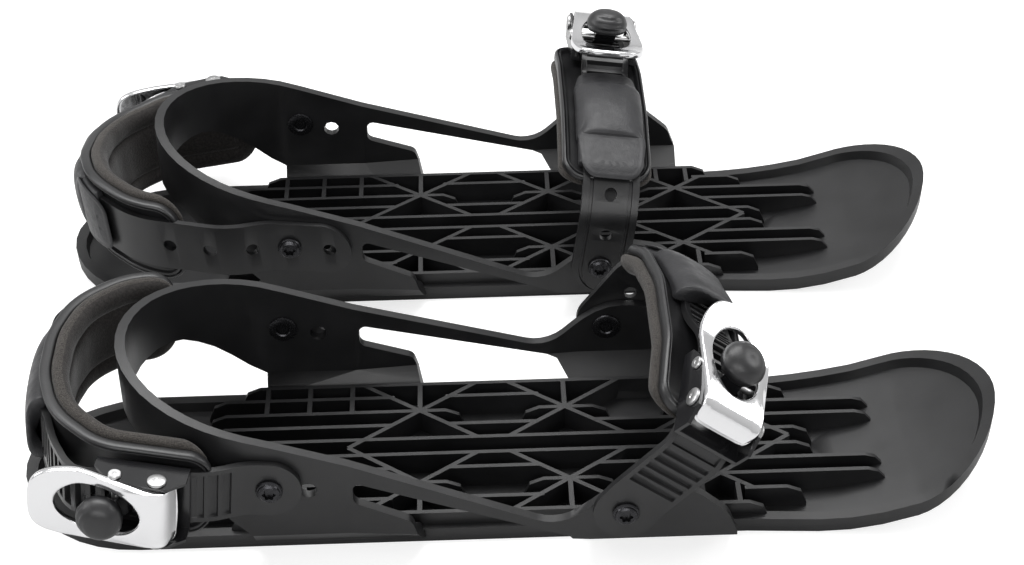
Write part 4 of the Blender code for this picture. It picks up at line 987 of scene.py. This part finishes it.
def lever_height(y):
    """The lever's outer face over its own pin, along the strap."""
    for (y0, z0), (y1, z1) in zip(LEVER_HEIGHTS, LEVER_HEIGHTS[1:]):
        if y <= y1:
            break
    return z0 + (z1 - z0) * ((y - y0) / (y1 - y0))


def lever_edge(y):
    """Half the lever's width along the strap."""
    return LEVER_NECK + (LEVER_WIDE - LEVER_NECK) * eased(between(y, 0.012, 0.032))


def lever_outlines():
    """The plate's opening and its outer edge, as matching points (x, y)."""
    opening, edge = [], []
    for y, x in circle(72):
        opening.append((OPENING_HALF * x, OPENING_MIDDLE + OPENING_REACH * y))
        corner = 0.16 if y < 0 else 0.60
        reach = LEVER_TIP - OPENING_MIDDLE if y > 0 else OPENING_MIDDLE - LEVER_NOSE
        along = OPENING_MIDDLE + reach * math.copysign(abs(y) ** corner, y)
        edge.append((lever_edge(along) * math.copysign(abs(x) ** corner, x), along))
    return opening, edge


def lever_rows():
    """Rows of points: the opening's rolled rim, the plate out to its edge, the turned-down sides."""
    opening, edge = lever_outlines()
    rows = [[(x, y, lever_height(y) - down) for x, y in opening] for down in (0.0030, 0.0012)]
    for share in (0.0, 0.04, 0.12, 0.3, 0.5, 0.7, 0.86, 0.95, 1.0):
        drop = 0.0005 if share in (0.0, 1.0) else 0.0
        row = [(a[0] + (b[0] - a[0]) * share, a[1] + (b[1] - a[1]) * share) for a, b in zip(opening, edge)]
        rows.append([(x, y, lever_height(y) - drop) for x, y in row])
    for down in (0.0014, 0.0036):
        rows.append([(x * 1.004, y, lever_height(y) - down * between(y, LEVER_NOSE, LEVER_NOSE + 0.007))
                     for x, y in edge])
    return rows


def lever(strap):
    """The chrome lever: a waved plate with turned-down sides and a rolled oval opening."""
    mesh = bmesh.new()
    bridge(mesh, [[mesh.verts.new(strap.in_buckle(x, y, LEVER_PIN_Z + z)) for x, y, z in row]
                  for row in lever_rows()])
    piece = shown(strap.name + "_lever_plate", settled(mesh), "chrome", 60.0)
    thick = piece.modifiers.new("plate", "SOLIDIFY")
    thick.thickness = LEVER_PLATE
    subdivided(piece)
    belongs(piece, strap.name + "_lever_body", "lever_chrome", strap.name + "_lever")
    lever_ears(strap)


def lever_ears(strap):
    """The two ears that hold the lever on its pin."""
    arc = [math.radians(180 + 180 * step / 12) for step in range(13)]
    ring = [(EAR_RADIUS * math.cos(angle), LEVER_PIN_Z + EAR_RADIUS * math.sin(angle)) for angle in arc]
    ring += [(0.0055, LEVER_PIN_Z + 0.0052), (-0.0030, LEVER_PIN_Z + 0.0040)]
    for side, end in ((-1, "back"), (1, "front")):
        rings = [[strap.in_buckle(side * x, y, z) for y, z in ring] for x in EAR_FACES]
        piece = shown(f"{strap.name}_lever_ear_{end}", skin(rings), "chrome")
        cut(piece, bore(strap, (0.0, LEVER_PIN_Z), LEVER_PIN_RADIUS + GAP))
        rounded_edges(piece, 0.0003)
        belongs(piece, strap.name + "_lever_body", "lever_chrome")


def tongue_button(strap):
    """A domed rubber button with grip ribs on its front."""
    levels = 22
    rings = []
    for level in range(levels + 1):
        t = level / levels
        z = BALL_FOOT + (BALL_TOP - BALL_FOOT) * math.sin(t * math.pi / 2)
        swollen = 0.84 + 0.16 * math.sin(min(1.0, t * 2.6) * math.pi / 2)
        girth = math.cos(t * math.pi / 2) ** 0.62 * swollen
        ring = []
        for x, y in circle(40):
            rib = GRIP_RIB * max(0.0, y) ** 2 * math.sin(t * 10 * math.pi) if 0.1 < t < 0.75 else 0.0
            along = TONGUE_PIN_Y + BALL_STEP + (BALL_REACH * girth + rib) * y
            ring.append(strap.in_buckle(BALL_HALF * girth * x, along, TONGUE_PIN_Z + z))
        rings.append(ring)
    return shown(strap.name + "_tongue_button", skin(rings), "rubber", 60.0)


def tongue(strap):
    """The release tongue: the rubber button on a pawl."""
    body = strap.name + "_tongue_body"
    belongs(tongue_button(strap), body, "tongue_rubber", strap.name + "_tongue")
    faces = [[strap.in_buckle(x, TONGUE_PIN_Y + y, TONGUE_PIN_Z + z) for y, z in PAWL_OUTLINE]
             for x in (-PAWL_HALF, PAWL_HALF)]
    pawl = shown(strap.name + "_tongue_pawl", skin(faces), "buckle")
    cut(pawl, bore(strap, (TONGUE_PIN_Y, TONGUE_PIN_Z), PAWL_BORE))
    rounded_edges(pawl, 0.0003)
    belongs(pawl, body, "tongue_rubber")


def buckle(strap):
    dress(NODES[strap.name + "_buckle_base"], "buckle", 0.0006, 3)
    rivet(strap, "lever_pin", (0.0, LEVER_PIN_Z), LEVER_PIN_RADIUS, LEVER_PIN_HEAD)
    rivet(strap, "tongue_pin", (TONGUE_PIN_Y, TONGUE_PIN_Z), TONGUE_PIN_RADIUS, TONGUE_PIN_HEAD)
    lever(strap)
    tongue(strap)


# Fasteners and moulded bodies

def about_pivot(centre, way, radius, reach, angle):
    """A point round a pivot's axis, which runs along Y, at a reach outwards from the wall."""
    return centre.x + radius * math.cos(angle), centre.y + way * reach, centre.z + radius * math.sin(angle)


def screw_head(centre, way):
    """A turned head with a six-point recess."""
    discs = [(*disc, 0.0) for disc in SCREW_HEAD] + [(*disc, RECESS_WAVE) for disc in SCREW_RECESS]
    return skin([[about_pivot(centre, way, radius * (1.0 + wave * math.cos(6 * angle)), reach, angle)
                  for angle in angles(48)] for radius, reach, wave in discs])


def tee_nut(centre, way):
    """A flanged barrel inside the wall."""
    return skin([[about_pivot(centre, way, radius, reach, angle) for radius, reach in NUT_SECTION]
                 for angle in angles(40)], around=True)


def fasteners(side, strap):
    """A strap's two screws and their tee nuts."""
    pivot = strap.pivot
    wall = (HEEL_PIVOT_U if strap.kind == "heel" else TOE_PIVOT_U) - GAP
    for position, way in (("outer", -OUTWARDS[side]), ("inner", OUTWARDS[side])):
        name = f"{strap.name}_{position}"
        centre = Vector((pivot.x, pivot.y + way * wall, pivot.z))
        head = shown(name + "_screw_head", screw_head(centre, way), "screw", 30.0)
        belongs(head, side + "_ski", "screw_metal", name + "_screw")
        nut = shown(name + "_tee_nut", tee_nut(centre, way), "screw", 30.0)
        belongs(nut, side + "_ski", "nut_steel", name + "_nut")


def dress(node, finish, fillet, segments=2):
    """A CAD node with its real finish and small fillets on its edges."""
    node.data.materials.clear()
    node.data.materials.append(FINISHES[finish])
    node.data.shade_smooth()
    rounded_edges(node, fillet, segments)
    normals = node.modifiers.new("normals", "WEIGHTED_NORMAL")
    normals.keep_sharp = True
    normals.weight = 80


# Stage, lights and camera

def math_node(tree, operation, *values):
    """The result of one operation on numbers or sockets."""
    node = tree.nodes.new("ShaderNodeMath")
    node.operation = operation
    return fed(node, dict(enumerate(values))).outputs[0]


def seen(tree, mirrored):
    """1 for what the camera sees, mirrored for what metal or glass shows, 0 for light on the object."""
    ray = tree.nodes.new("ShaderNodeLightPath").outputs
    either = math_node(tree, "MAXIMUM", ray["Is Glossy Ray"], ray["Is Transmission Ray"])
    return math_node(tree, "MULTIPLY_ADD", either, mirrored, ray["Is Camera Ray"])


def paper_floor():
    """A sheet under the skis that is white for the camera and keeps their shadow."""
    sheet = bpy.data.meshes.new("floor")
    corners = ((-1, -1), (1, -1), (1, 1), (-1, 1))
    sheet.from_pydata([(x * FLOOR_HALF, y * FLOOR_HALF, 0) for x, y in corners], [], [(0, 1, 2, 3)])
    paper = bpy.data.materials.new("paper")
    paper.use_nodes = True
    tree = paper.node_tree
    fed(tree.nodes["Principled BSDF"], {
        "Base Color": FLOOR_COLOUR, "Roughness": 0.9, "Specular IOR Level": 0.1, "Emission Color": WHITE,
        "Emission Strength": math_node(tree, "MULTIPLY", seen(tree, FLOOR_IN_METAL), FLOOR_GLOW)})
    sheet.materials.append(paper)
    floor = placed("floor", sheet)


def studio():
    """A world that is white for the camera, and for the object brighter overhead than all round."""
    world = bpy.data.worlds.new("studio")
    bpy.context.scene.world = world
    world.use_nodes = True
    tree = world.node_tree
    ray = tree.nodes.new("ShaderNodeTexCoord").outputs["Generated"]
    height = fed(tree.nodes.new("ShaderNodeSeparateXYZ"), {"Vector": ray}).outputs["Z"]
    sky = map_range(tree, height, *SKY_HEIGHTS, *SKY_LEVELS)
    level = map_range(tree, seen(tree, SKY_IN_METAL), 0.0, 1.0, sky, 1.0)
    fed(tree.nodes["Background"], {"Color": WHITE, "Strength": level})


def lamp(name, place, target, size, power):
    light = bpy.data.lights.new(name, "AREA")
    light.shape = "RECTANGLE"
    light.size, light.size_y = size
    light.energy = power
    made = placed(name, light)
    made.location = place
    made.rotation_mode = "QUATERNION"
    made.rotation_quaternion = (Vector(target) - Vector(place)).to_track_quat("-Z", "Y")


def camera():
    flat = math.cos(CAMERA_DOWN)
    ahead = Vector((math.sin(CAMERA_TURN) * flat, math.cos(CAMERA_TURN) * flat, -math.sin(CAMERA_DOWN)))
    right = Vector((math.cos(CAMERA_TURN), -math.sin(CAMERA_TURN), 0.0))
    up = right.cross(ahead)
    rolled = right * math.cos(CAMERA_ROLL) + up * math.sin(CAMERA_ROLL)
    upright = -right * math.sin(CAMERA_ROLL) + up * math.cos(CAMERA_ROLL)
    data = bpy.data.cameras.new("camera")
    data.lens = CAMERA_LENS
    data.sensor_width = CAMERA_SENSOR
    data.sensor_fit = "HORIZONTAL"
    made = placed("camera", data)
    made.matrix_world = Matrix((rolled, upright, -ahead)).transposed().to_4x4()
    made.location = CAMERA_PLACE
    bpy.context.scene.camera = made


def main():
    camera()
    paper_floor()
    studio()
    for values in LAMPS:
        lamp(*values)
    bpy.context.scene.view_settings.view_transform = "Standard"
    for side in ("right", "left"):
        dress(NODES[side + "_ski_body"], "ski", 0.0005)
        for kind in ("heel", "toe"):
            strap = Strap(side, kind)
            for make in (adjust_strap, buckle_strap, ladder, shell, pad, sleeve, buckle):
                make(strap)
            fasteners(side, strap)


main()
